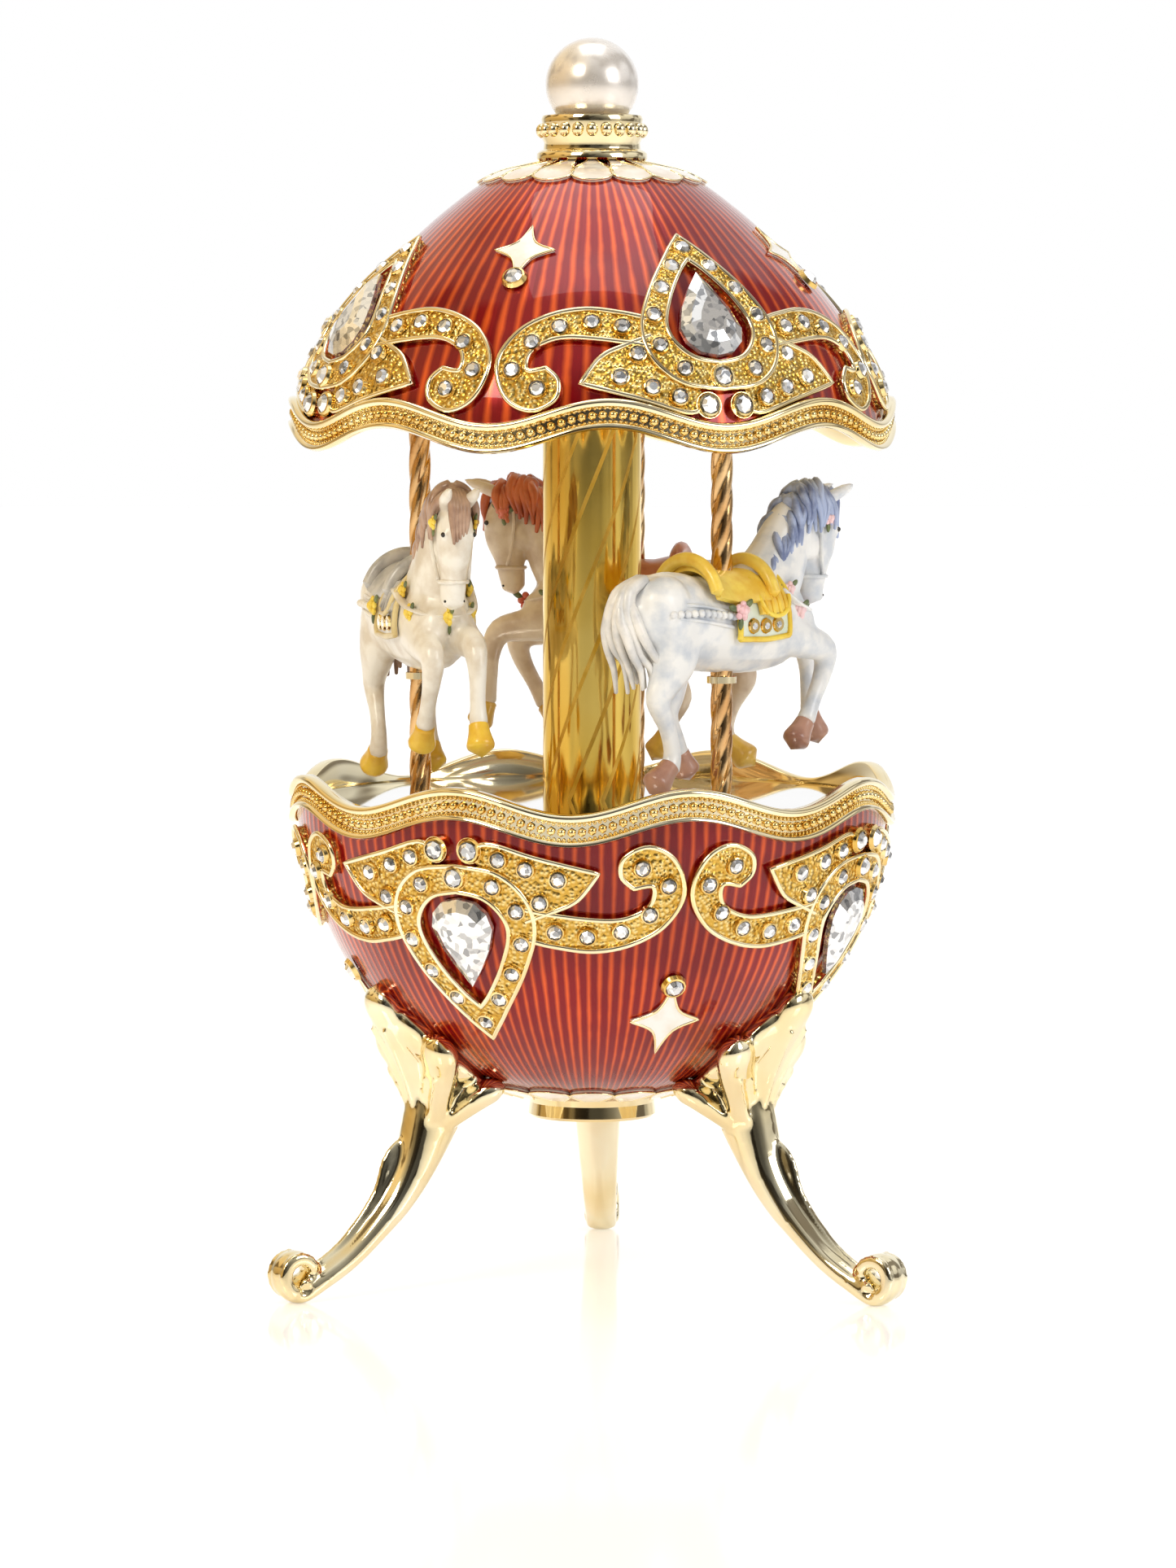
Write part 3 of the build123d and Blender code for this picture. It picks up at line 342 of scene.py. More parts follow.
def wavyRim(name, body, replaced, crest, lowZ, height, outer, inner, wallRadius):
    # smooth ridge above and below a sunk channel of beads
    top = lowZ + height
    section = [(wallRadius, lowZ + 0.2), (outer - 0.55, lowZ), (outer, lowZ + 0.28), (outer, lowZ + 0.62),
               (outer - 0.5, lowZ + 0.95), (outer - 0.95, lowZ + 1.1), (outer - 0.95, lowZ + height - 1.35),
               (outer - 0.5, top - 1.2), (outer - 0.06, top - 0.9), (outer, top - 0.45),
               (outer - 0.25, top - 0.1),
               (outer - 0.7, top), (inner + 0.25, top), (inner, top - 0.3), (inner, lowZ + 0.5)]
    section.append(section[0])
    bm = spunShell(section, 384)

    def wave(azimuth):
        return rim["rise"] * cos(radians(rim["waves"] * (azimuth - crest)))

    for v in bm.verts:
        v.co.z += wave(degrees(atan2(v.co.x, -v.co.y)))
    finishPiece(name, bm, polishedGold, body, replaced, sharp=60)
    beads = bmesh.new()
    beadCircle = outer - 0.75
    count = int(2 * pi * beadCircle / rim["beadPitch"])
    middle = lowZ + 0.5 * (height - 0.25)
    for i in range(count):
        azimuth = 360 * i / count
        place = around(beadCircle, azimuth, middle + wave(azimuth))
        bmesh.ops.create_icosphere(beads, subdivisions=1, radius=rim["beadRadius"],
                                   matrix=Matrix.Translation(place))
    for i in range(2 * count):
        azimuth = 180 * (i + 0.5) / count
        for side in (-1, 1):
            place = around(beadCircle - 0.05, azimuth, middle + wave(azimuth) + side * 0.95 * height / 4.3)
            bmesh.ops.create_icosphere(beads, subdivisions=1, radius=0.27, matrix=Matrix.Translation(place))
    finishPiece(name + "_beads", beads, beadGold, body, sharp=0)


wavyRim("bowl_rim", "stand", ["bowl_rim_band"], 18.4, 65.1, 4.5, 42.0, 39.9, 40.6)
wavyRim("roof_rim", "carousel", ["roof_rim_band"], 3.0, 117.0, 4.1, 41.9, 40.0, 40.4)
print("rims made")

# cast ornament, drawn flat in millimetres and laid on the shells
ornament = {
    "reference": 38.0, "border": 0.36, "plateLift": 0.75, "borderLift": 0.95,
    "pave": 1.12, "bezelStone": 1.35, "bezel": 1.8}
dropHalfOuter = [(0, 4.0), (5.4, 4.8), (9.0, 8.0), (10.1, 12.6), (7.8, 18.6), (3.6, 24.2), (0, 27.6)]
dropHalfInner = [(0, 7.4), (3.6, 8.2), (6.0, 10.6), (6.5, 13.4), (4.8, 17.6), (2.2, 21.2), (0, 23.2)]
wingTop = [(2.2, 2.6), (4.6, 1.0), (10.6, 2.7), (18.4, 4.7)]
wingBottom = [(18.4, 4.7), (15.8, 8.2), (12.6, 9.8), (9.0, 11.2)]
scrollLower = [(8.6, 13.6), (12.6, 14.5), (17.8, 15.1), (22.8, 14.2), (27.0, 11.8), (29.3, 7.6), (27.8, 3.0),
               (24.6, 1.25), (21.6, 2.6), (21.2, 5.0), (22.8, 6.7)]
scrollUpper = [(22.8, 6.7), (25.2, 6.4), (25.3, 8.4), (23.8, 10.0), (20.2, 11.0), (13.4, 10.4), (8.8, 9.6)]
dropStones = [(0, 25.2), (3.5, 21.9), (6.3, 18.3), (8.2, 14.2), (7.9, 9.8), (5.0, 6.6)]
sideStones = [(6.0, 3.0), (9.4, 4.2), (13.4, 5.5), (11.0, 8.6), (12.8, 12.5), (17.0, 13.1), (21.4, 12.4),
              (25.0, 10.2), (27.2, 6.4), (23.8, 4.0)]
bezelPlaces = [(0, 5.5), (-2.3, 1.9), (2.3, 1.9)]


def bowlHeight(h):
    return 65.0 - h


def roofHeight(h):
    return 119.6 + h * (1.04 - 0.0062 * h)


def laidOn(bm, line, heightOf, azimuth):
    # bends a flat drawing onto a shell: x along the rim, y away from it, z out from the shell
    for v in bm.verts:
        turn = azimuth + degrees(v.co.x / ornament["reference"])
        v.co = surfacePoint(line, turn, heightOf(v.co.y), v.co.z)[0]
    bmesh.ops.recalc_face_normals(bm, faces=bm.faces)


def flip(points):
    return [(-p[0], p[1]) for p in points]


def flatPlate(outlines, thickness, lift):
    # a filled outline cut into a fine grid so that it can bend
    curve = bpy.data.curves.new("plate", "CURVE")
    curve.dimensions = "2D"
    curve.fill_mode = "BOTH"
    curve.extrude = 0.5 * thickness
    for outline in outlines:
        spline = curve.splines.new("POLY")
        spline.points.add(len(outline) - 1)
        for point, p in zip(spline.points, outline):
            point.co = (p[0], p[1], 0, 1)
        spline.use_cyclic_u = True
    holder = bpy.data.objects.new("plate", curve)
    mesh = bpy.data.meshes.new_from_object(holder)
    bm = bmesh.new()
    bm.from_mesh(mesh)
    bpy.data.objects.remove(holder)
    bpy.data.meshes.remove(mesh)
    bmesh.ops.remove_doubles(bm, verts=bm.verts, dist=0.001)
    for axis, normal in ((0, (1, 0, 0)), (1, (0, 1, 0))):
        low = int(min(v.co[axis] for v in bm.verts) // 1.5)
        high = int(max(v.co[axis] for v in bm.verts) // 1.5)
        for i in range(low, high + 1):
            place = [0, 0, 0]
            place[axis] = 1.5 * i + 0.01
            bmesh.ops.bisect_plane(bm, geom=bm.verts[:] + bm.edges[:] + bm.faces[:], plane_co=place,
                                   plane_no=normal, dist=0.0001)
    bmesh.ops.translate(bm, vec=(0, 0, lift + 0.5 * thickness), verts=bm.verts)
    return bm


def flatBead(points, radius, lift, closed=False, sides=2):
    # a round moulding along a flat line
    curve = bpy.data.curves.new("bead", "CURVE")
    curve.dimensions = "3D"
    curve.bevel_depth = radius
    curve.bevel_resolution = sides
    curve.use_fill_caps = True
    spline = curve.splines.new("POLY")
    spline.points.add(len(points) - 1)
    for point, p in zip(spline.points, points):
        point.co = (p[0], p[1], lift, 1)
    spline.use_cyclic_u = closed
    holder = bpy.data.objects.new("bead", curve)
    mesh = bpy.data.meshes.new_from_object(holder)
    bm = bmesh.new()
    bm.from_mesh(mesh)
    bpy.data.objects.remove(holder)
    bpy.data.meshes.remove(mesh)
    return bm


def roundStone(stones, cups, place, tilt, azimuth, radius, cup):
    # crown with a table above a girdle, in a thin metal cup
    turn = Matrix.Translation(place) @ Matrix.Rotation(radians(azimuth), 4, "Z") @ Matrix.Rotation(
        0.5 * pi - tilt, 4, "X")
    bmesh.ops.create_cone(stones, cap_ends=True, segments=8, radius1=radius, radius2=0.52 * radius,
                          depth=0.5 * radius, matrix=turn @ Matrix.Translation((0, 0, 0.25 * radius + 0.1)))
    bmesh.ops.create_cone(stones, cap_ends=False, segments=8, radius1=radius, radius2=radius, depth=0.24,
                          matrix=turn)
    bmesh.ops.create_cone(cups, cap_ends=False, segments=14, radius1=radius + cup,
                          radius2=radius + 0.45 * cup,
                          depth=0.55, matrix=turn @ Matrix.Translation((0, 0, -0.05)))
    bmesh.ops.create_cone(cups, cap_ends=False, segments=14, radius1=radius + 0.45 * cup,
                          radius2=radius - 0.05,
                          depth=0.08, matrix=turn @ Matrix.Translation((0, 0, 0.25)))


def pearStone(stones, line, heightOf, azimuth):
    # cut drop: table, sloping crown and girdle
    outline = [(0, 8.1), (2.4, 8.6), (4.0, 10.2), (4.5, 12.3), (3.5, 15.4), (1.8, 18.4), (0, 21.0)]
    loop = outline + flip(outline)[-2:0:-1]
    bm = bmesh.new()
    face = bm.faces.new([bm.verts.new((x, y, 0.2)) for x, y in loop])
    bmesh.ops.recalc_face_normals(bm, faces=[face])
    if face.normal.z < 0:
        bmesh.ops.reverse_faces(bm, faces=[face])
    for rise, shrink in ((0.7, 0.0), (0.9, 0.28), (0.35, 0.42)):
        ring = bmesh.ops.extrude_face_region(bm, geom=[face])
        verts = [g for g in ring["geom"] if isinstance(g, bmesh.types.BMVert)]
        newFace = [g for g in ring["geom"] if isinstance(g, bmesh.types.BMFace)][0]
        bmesh.ops.delete(bm, geom=[face], context="FACES_ONLY")
        face = newFace
        middle = sum((v.co for v in verts), Vector()) / len(verts)
        for v in verts:
            v.co.x += (middle.x - v.co.x) * shrink
            v.co.y += (middle.y - v.co.y) * shrink
            v.co.z += rise
    middlePoint, tilt = surfacePoint(line, azimuth, heightOf(13.0), 0)
    up = 1 if heightOf(1) > heightOf(0) else -1
    turn = Matrix.Translation(middlePoint) @ Matrix.Rotation(radians(azimuth), 4, "Z") @ Matrix.Rotation(
        0.5 * pi - tilt, 4, "X") @ Matrix.Diagonal((1, up, 1, 1)) @ Matrix.Translation((0, -13.0, 0))
    bmesh.ops.transform(bm, matrix=turn, verts=bm.verts)
    bmesh.ops.recalc_face_normals(bm, faces=bm.faces)
    mergeInto(stones, bm)


def starOutline(reach, waist):
    corners = [(0, reach), (reach, 0), (0, -reach), (-reach, 0)]
    out = []
    for i, corner in enumerate(corners):
        after = corners[(i + 1) % 4]
        inward = ((corner[0] + after[0]) * waist, (corner[1] + after[1]) * waist)
        out += [(p.x, p.y) for p in smoothRun([corner, inward, after], 5)[:-1]]
    return out


def ornamentSet(prefix, body, line, heightOf, middle):
    plates, beads, stones, cups = bmesh.new(), bmesh.new(), bmesh.new(), bmesh.new()
    stars, bigStones = bmesh.new(), bmesh.new()
    lift, edge = ornament["plateLift"], ornament["border"]
    rightOuter = smoothRun(dropHalfOuter, 6)
    rightInner = smoothRun(dropHalfInner, 6)
    outer = rightOuter + [Vector((-p.x, p.y)) for p in rightOuter[-2:0:-1]]
    inner = rightInner + [Vector((-p.x, p.y)) for p in rightInner[-2:0:-1]]
    for i in range(4):
        azimuth = middle + 90 * i
        plate = flatPlate([outer, inner], lift + 0.15, 0.02)
        laidOn(plate, line, heightOf, azimuth)
        mergeInto(plates, plate)
        for loop in (outer, inner):
            bead = flatBead(loop, edge, ornament["borderLift"], True)
            laidOn(bead, line, heightOf, azimuth)
            mergeInto(beads, bead)
        for turn in (list, flip):
            wing = smoothRun(turn(wingTop), 6)[:-1] + smoothRun(turn(wingBottom), 6)
            scroll = smoothRun(turn(scrollLower), 6)[:-1] + smoothRun(turn(scrollUpper), 6)
            for run in (wing, scroll):
                plate = flatPlate([run], lift - 0.05, 0.02)
                laidOn(plate, line, heightOf, azimuth)
                mergeInto(plates, plate)
                bead = flatBead(run, edge, ornament["borderLift"] - 0.1)
                laidOn(bead, line, heightOf, azimuth)
                mergeInto(beads, bead)
            for x, h in turn(dropStones) + turn(sideStones):
                if x == 0 and turn is flip:
                    continue
                where = azimuth + degrees(x / ornament["reference"])
                place, tilt = surfacePoint(line, where, heightOf(h), lift + 0.3)
                roundStone(stones, cups, place, tilt, where, ornament["pave"], 0.3)
        for x, h in bezelPlaces:
            where = azimuth + degrees(x / ornament["reference"])
            place, tilt = surfacePoint(line, where, heightOf(h), 1.25)
            roundStone(bigStones, cups, place, tilt, where, ornament["bezelStone"], 0.45)
            bmesh.ops.create_cone(
                cups, cap_ends=True, segments=20, radius1=ornament["bezel"], radius2=ornament["bezel"],
                depth=1.1,
                matrix=Matrix.Translation(surfacePoint(line, where, heightOf(h), 0.5)[0])
                @ Matrix.Rotation(radians(where), 4, "Z") @ Matrix.Rotation(0.5 * pi - tilt, 4, "X"))
        pearStone(bigStones, line, heightOf, azimuth)
        starTurn = azimuth + 45
        star = [(x, 25.4 + 0.8 * y) for x, y in starOutline(5.9, 0.31)]
        plate = flatPlate([star], 0.45, 0.02)
        laidOn(plate, line, heightOf, starTurn)
        mergeInto(stars, plate)
        bead = flatBead(star, 0.2, 0.4, True)
        laidOn(bead, line, heightOf, starTurn)
        mergeInto(beads, bead)
        place, tilt = surfacePoint(line, starTurn, heightOf(20.4), 0.75)
        roundStone(bigStones, cups, place, tilt, starTurn, ornament["bezelStone"], 0.45)
    finishPiece(prefix + "_frame_fields", plates, fieldGold, body,
                [prefix + "_ornament_frames"])
    finishPiece(prefix + "_frame_borders", beads, polishedGold, body, sharp=70)
    finishPiece(prefix + "_stone_cups", cups, beadGold, body)
    finishPiece(prefix + "_small_stones", stones, clearStone, body, smooth=False)
    finishPiece(prefix + "_large_stones", bigStones, clearStone, body,
                [prefix + "_bezel_stones", prefix + "_pear_stones"], smooth=False)
    finishPiece(prefix + "_enamel_stars", stars, starEnamel, body, [prefix + "_stars"])


ornamentSet("bowl", "stand", bowlLine, bowlHeight, -26.6)
ornamentSet("roof", "carousel", domeLine, roofHeight, 25.5)
print("ornaments made")


# petal rings
def petalRing(name, body, line, replaced, innerZ, outerZ, reference, width):
    petalsBm, wires = bmesh.new(), bmesh.new()
    half = 0.5 * width
    outline = [(-0.45 * half, 0), (-half, 0.5), (-0.92 * half, 0.8), (-0.5 * half, 0.97), (0, 1.03),
               (0.5 * half, 0.97), (0.92 * half, 0.8), (half, 0.5), (0.45 * half, 0)]
    for i in range(16):
        run = smoothRun([(x, 10 * y) for x, y in outline], 4)
        plate = flatPlate([run], 0.4, 0.02)
        wire = flatBead(run, 0.16, 0.4)
        for bm, target in ((plate, petalsBm), (wire, wires)):
            for v in bm.verts:
                z = innerZ + (outerZ - innerZ) * v.co.y / 10
                turn = 22.5 * i + degrees(v.co.x / reference)
                v.co = surfacePoint(line, turn, z, v.co.z)[0]
            bmesh.ops.recalc_face_normals(bm, faces=bm.faces)
            mergeInto(target, bm)
    finishPiece(name, petalsBm, creamEnamel, body, replaced)
    finishPiece(name + "_wires", wires, polishedGold, body, sharp=70)


petalRing("roof_petals", "carousel", domeLine, ["roof_petal_ring"], 154.4, 151.7, 10.6, 4.2)
petalRing("bowl_petals", "stand", bowlLine, ["bowl_petal_ring"], 26.6, 28.3, 13.4, 5.0)
print("petals made")


# finial
crown = [(1.6, 154.95), (7.3, 154.95), (7.6, 155.2), (7.6, 155.9), (7.3, 156.2), (6.7, 156.5), (6.6, 157.4),
         (6.9, 158.0), (6.9, 160.1), (7.0, 160.6), (6.8, 161.1), (5.8, 161.3), (5.2, 160.6), (1.6, 160.4),
         (1.6, 154.95)]
finial = {"beads": 22, "beadCircle": 6.95, "beadHeight": 159.05, "beadRadius": 0.86, "pearlRadius": 6.4,
          "pearlHeight": 165.4, "plugHeight": 159.5}
crownBm = spunShell(crown, 96)
for i in range(finial["beads"]):
    place = around(finial["beadCircle"], 360 * i / finial["beads"], finial["beadHeight"])
    bmesh.ops.create_uvsphere(crownBm, u_segments=10, v_segments=8, radius=finial["beadRadius"],
                              matrix=Matrix.Translation(place) @ Matrix.Diagonal((1, 1, 1.15, 1)))
finishPiece("finial_crown_cast", crownBm, polishedGold, "carousel", ["finial_crown"],
            sharp=50)
pearlBm = bmesh.new()
bmesh.ops.create_uvsphere(pearlBm, u_segments=64, v_segments=40, radius=finial["pearlRadius"],
                          matrix=Matrix.Translation((0, 0, finial["pearlHeight"])))
bmesh.ops.create_cone(pearlBm, cap_ends=True, segments=24, radius1=2.0, radius2=1.7, depth=0.9,
                      matrix=Matrix.Translation((0, 0, finial["plugHeight"])))
finishPiece("pearl_ball", pearlBm, pearlFinish, "carousel", ["pearl"])

# column with engraved spiral stripes
column = {"radius": 6.8, "low": 67.2, "high": 118.9, "stripes": 9, "lean": 22.0}


def columnPiece():
    bm = bmesh.new()
    perStripe, rows = 16, 60
    segments = perStripe * column["stripes"]
    bmesh.ops.create_circle(bm, segments=segments, radius=column["radius"],
                            matrix=Matrix.Translation((0, 0, column["low"])))
    step = (column["high"] - column["low"]) / rows
    turn = step * sin(radians(column["lean"])) / cos(radians(column["lean"])) / column["radius"]
    edges = [e for e in bm.edges]
    for row in range(rows):
        grown = bmesh.ops.extrude_edge_only(bm, edges=edges)["geom"]
        verts = [g for g in grown if isinstance(g, bmesh.types.BMVert)]
        edges = [g for g in grown if isinstance(g, bmesh.types.BMEdge)]
        bmesh.ops.rotate(bm, verts=verts, cent=(0, 0, 0), matrix=Matrix.Rotation(turn, 3, "Z"))
        bmesh.ops.translate(bm, verts=verts, vec=(0, 0, step))
    for face in bm.faces:
        centre = face.calc_center_median()
        around0 = atan2(centre.y, centre.x) - turn * (centre.z - column["low"]) / step
        place = (around0 / (2 * pi) * column["stripes"]) % 1.0
        if place < 2.5 / perStripe:
            face.material_index = 1
    bmesh.ops.recalc_face_normals(bm, faces=bm.faces)
    return bm


finishPiece("column_sleeve", columnPiece(), [columnGold, stripeGold], "carousel", ["column"])


# twisted poles
pole = {"radius": 1.5, "circle": 24.5, "azimuths": (-74.3, 45.7, 165.7), "strands": 4, "turnLength": 18.4}


def twistedPole(azimuth):
    bm = bmesh.new()
    rows, low, high = 160, 67.2, 118.9
    segments = 8 * pole["strands"]
    ring = bmesh.ops.create_circle(bm, segments=segments, radius=pole["radius"])["verts"]
    for v in ring:
        around0 = atan2(v.co.y, v.co.x) * pole["strands"]
        scale = 0.86 + 0.14 * abs(cos(0.5 * around0))
        v.co.x *= scale
        v.co.y *= scale
    edges = bm.edges[:]
    step = (high - low) / rows
    for row in range(rows):
        grown = bmesh.ops.extrude_edge_only(bm, edges=edges)["geom"]
        verts = [g for g in grown if isinstance(g, bmesh.types.BMVert)]
        edges = [g for g in grown if isinstance(g, bmesh.types.BMEdge)]
        bmesh.ops.rotate(bm, verts=verts, cent=(0, 0, 0),
                         matrix=Matrix.Rotation(2 * pi * step / pole["turnLength"], 3, "Z"))
        bmesh.ops.translate(bm, verts=verts, vec=(0, 0, step))
    bmesh.ops.translate(bm, verts=bm.verts, vec=around(pole["circle"], azimuth, low))
    bmesh.ops.recalc_face_normals(bm, faces=bm.faces)
    return bm


for name, azimuth in zip(("pole_front", "pole_right", "pole_rear"), pole["azimuths"]):
    finishPiece(name + "_rope", twistedPole(azimuth), copperGold, "carousel", [name], sharp=50)
print("column and poles made")

# modelled masses: round sections along a path, then one skin over all of them
def tubeAlong(bm, stations, side=(0, 1, 0), segments=12, steps=4):
    # each station is x, y, z, half width across, half width in the plane of the path
    run = smoothRun(stations, steps)
    rings = []
    for i, point in enumerate(run):
        ahead = run[min(i + 1, len(run) - 1)]
        behind = run[max(i - 1, 0)]
        along = Vector(ahead[:3]) - Vector(behind[:3])
        along.normalize()
        across = Vector(side)
        across = (across - along * across.dot(along)).normalized()
        up = along.cross(across)
        matrix = Matrix((across * point[3], up * point[4], along)).transposed().to_4x4()
        matrix.translation = Vector(point[:3])
        rings.append(bmesh.ops.create_circle(bm, segments=segments, radius=1.0, matrix=matrix)["verts"])
    loops = [[e for e in {e for v in ring for e in v.link_edges}] for ring in rings]
    for low, high in zip(loops, loops[1:]):
        bmesh.ops.bridge_loops(bm, edges=low + high)
    for loop in (loops[0], loops[-1]):
        bmesh.ops.holes_fill(bm, edges=loop, sides=segments)
    for ring, point, near in ((rings[0], run[0], run[1]), (rings[-1], run[-1], run[-2])):
        away = (Vector(point[:3]) - Vector(near[:3])).normalized()
        crown = sum((v.co for v in ring), Vector()) / len(ring) + away * 0.75 * min(point[3], point[4])
        face = [f for f in ring[0].link_faces if len(f.verts) == segments][0]
        top = bmesh.ops.poke(bm, faces=[face])["verts"][0]
        top.co = crown


def roundMass(bm, place, radii, tilt=0.0, axis="Y", segments=16):
    bmesh.ops.create_uvsphere(
        bm, u_segments=segments, v_segments=segments // 2 + 2, radius=1.0,
        matrix=Matrix.Translation(place) @ Matrix.Rotation(radians(tilt), 4,
                                                           axis) @ Matrix.Diagonal((*radii, 1)))


def oneSkin(bm, voxel, smoothing):
    # joins overlapping masses into one closed skin and softens the joins
    bmesh.ops.recalc_face_normals(bm, faces=bm.faces)
    mesh = bpy.data.meshes.new("masses")
    bm.to_mesh(mesh)
    bm.free()
    holder = bpy.data.objects.new("masses", mesh)
    scene.collection.objects.link(holder)
    remesh = holder.modifiers.new("skin", "REMESH")
    remesh.mode = "VOXEL"
    remesh.voxel_size = voxel
    soften = holder.modifiers.new("soften", "SMOOTH")
    soften.factor = 0.5
    soften.iterations = smoothing
    depsgraph = bpy.context.evaluated_depsgraph_get()
    skin = bpy.data.meshes.new_from_object(holder.evaluated_get(depsgraph))
    bpy.data.objects.remove(holder)
    bpy.data.meshes.remove(mesh)
    out = bmesh.new()
    out.from_mesh(skin)
    bpy.data.meshes.remove(skin)
    return out


# legs
leg = {"azimuths": {"leg_left": -61.8, "leg_right": 58.2, "leg_rear": 178.2}, "volute": (45.4, 4.15, 4.05),
       "footWidth": 2.35, "voxel": 0.34}
# outwards, up, half width across, half thickness
bladeStations = [(23.8, 27.5, 3.6, 4.2), (25.0, 24.2, 3.6, 4.1), (27.6, 17.8, 3.2, 3.0),
                 (30.4, 13.2, 2.9, 2.4),
                 (33.3, 9.9, 2.7, 2.0), (37.3, 6.1, 2.5, 1.75), (41.0, 3.6, 2.4, 1.7), (44.0, 2.0, 2.3, 1.5)]
# outwards, aside, up, half width, half thickness
lobePaths = [
    [(25.4, 0, 22.0, 1.7, 1.6), (27.2, 0, 28.0, 2.1, 1.6), (29.4, 0, 33.5, 2.8, 1.7),
     (31.4, 0, 37.6, 3.3, 2.0),
     (32.7, 0, 40.4, 3.2, 2.2), (33.0, 0, 42.0, 2.2, 1.6)],
    [(25.0, 1.2, 22.5, 1.6, 1.6), (25.6, 3.3, 27.4, 2.2, 1.7), (26.4, 5.6, 31.0, 2.8, 1.9),
     (27.4, 7.4, 33.8, 3.0, 2.2),
     (28.2, 8.4, 35.2, 2.1, 1.6)],
    [(24.6, 1.2, 22.8, 1.5, 1.4), (22.6, 3.4, 25.0, 1.8, 1.5), (20.4, 5.2, 27.2, 2.2, 1.8),
     (18.6, 6.2, 28.2, 1.9, 1.7),
     (17.6, 6.6, 28.4, 1.2, 1.1)]]
# the solid palm behind the lobes, close to the bowl
palmPaths = [
    [(18.6, 0, 28.6, 4.6, 1.1), (22.4, 0, 30.6, 6.2, 2.6), (26.6, 0, 34.0, 6.6, 2.8),
     (30.0, 0, 37.6, 5.0, 2.4),
     (31.6, 0, 40.0, 2.6, 1.4)],
    [(24.4, 0, 22.6, 2.6, 3.2), (24.0, 0, 26.0, 4.0, 3.4), (24.4, 0, 29.6, 5.4, 3.6),
     (26.0, 0, 33.0, 5.6, 3.0)]]


def legPiece(azimuth):
    bm = bmesh.new()
    tubeAlong(bm, [(r, 0, z, across, thick) for r, z, across, thick in bladeStations], segments=20)
    ridge = [(r + 0.9 * thick, 0, z + 0.45 * thick, 0.7, 0.6 * thick) for r, z, across,
             thick in bladeStations[2:]]
    tubeAlong(bm, [(26.0, 0, 23.0, 0.2, 0.5)] + ridge, segments=10)
    for i, path in enumerate(lobePaths):
        for side in ((1,) if i == 0 else (1, -1)):
            tubeAlong(bm, [(r, side * s, z, w, t) for r, s, z, w, t in path], segments=16)
            for rib in (-1, 1):
                tubeAlong(bm, [(r + 0.75 * t, side * s + rib * 0.55 * w, z - 0.4 * t, 0.45, 0.75)
                               for r, s, z, w, t in path[:-2]], segments=8)
    for path in palmPaths:
        tubeAlong(bm, path, segments=18)
    centreR, radius, centreZ = leg["volute"][0], leg["volute"][1], leg["volute"][2]
    curl = [(41.0, 0, 3.6, 2.4, 1.7)]
    for i in range(12):
        turn = radians(-100 + 32 * i)
        reach = (radius - 1.0) * (1 - 0.055 * i)
        curl.append((centreR + reach * cos(turn), 0, centreZ + reach * sin(turn), leg["footWidth"] - 0.03 * i,
                     1.05 - 0.02 * i))
    tubeAlong(bm, curl, segments=20, steps=3)
    roundMass(bm, (curl[-1][0], 0, curl[-1][2]), (1.0, 2.75, 1.0))
    for side in (-1, 1):
        tubeAlong(bm, [(r, side * (w - 0.15), z, 0.5, t * 1.06) for r, s, z, w, t in curl[2:10]], segments=8,
                  steps=3)
    bm = oneSkin(bm, leg["voxel"], 9)
    bmesh.ops.bisect_plane(bm, geom=bm.verts[:] + bm.edges[:] + bm.faces[:], plane_co=(0, 0, 0.01),
                           plane_no=(0, 0, -1), clear_outer=True)
    rimEdges = [e for e in bm.edges if e.is_boundary]
    bmesh.ops.holes_fill(bm, edges=rimEdges, sides=0)
    turn = Matrix.Rotation(radians(azimuth - 90), 4, "Z")
    bmesh.ops.transform(bm, matrix=turn, verts=bm.verts)
    return bm


for name, azimuth in leg["azimuths"].items():
    finishPiece(name + "_cast", legPiece(azimuth), legGold, "stand", [name], sharp=0)
print("legs made")

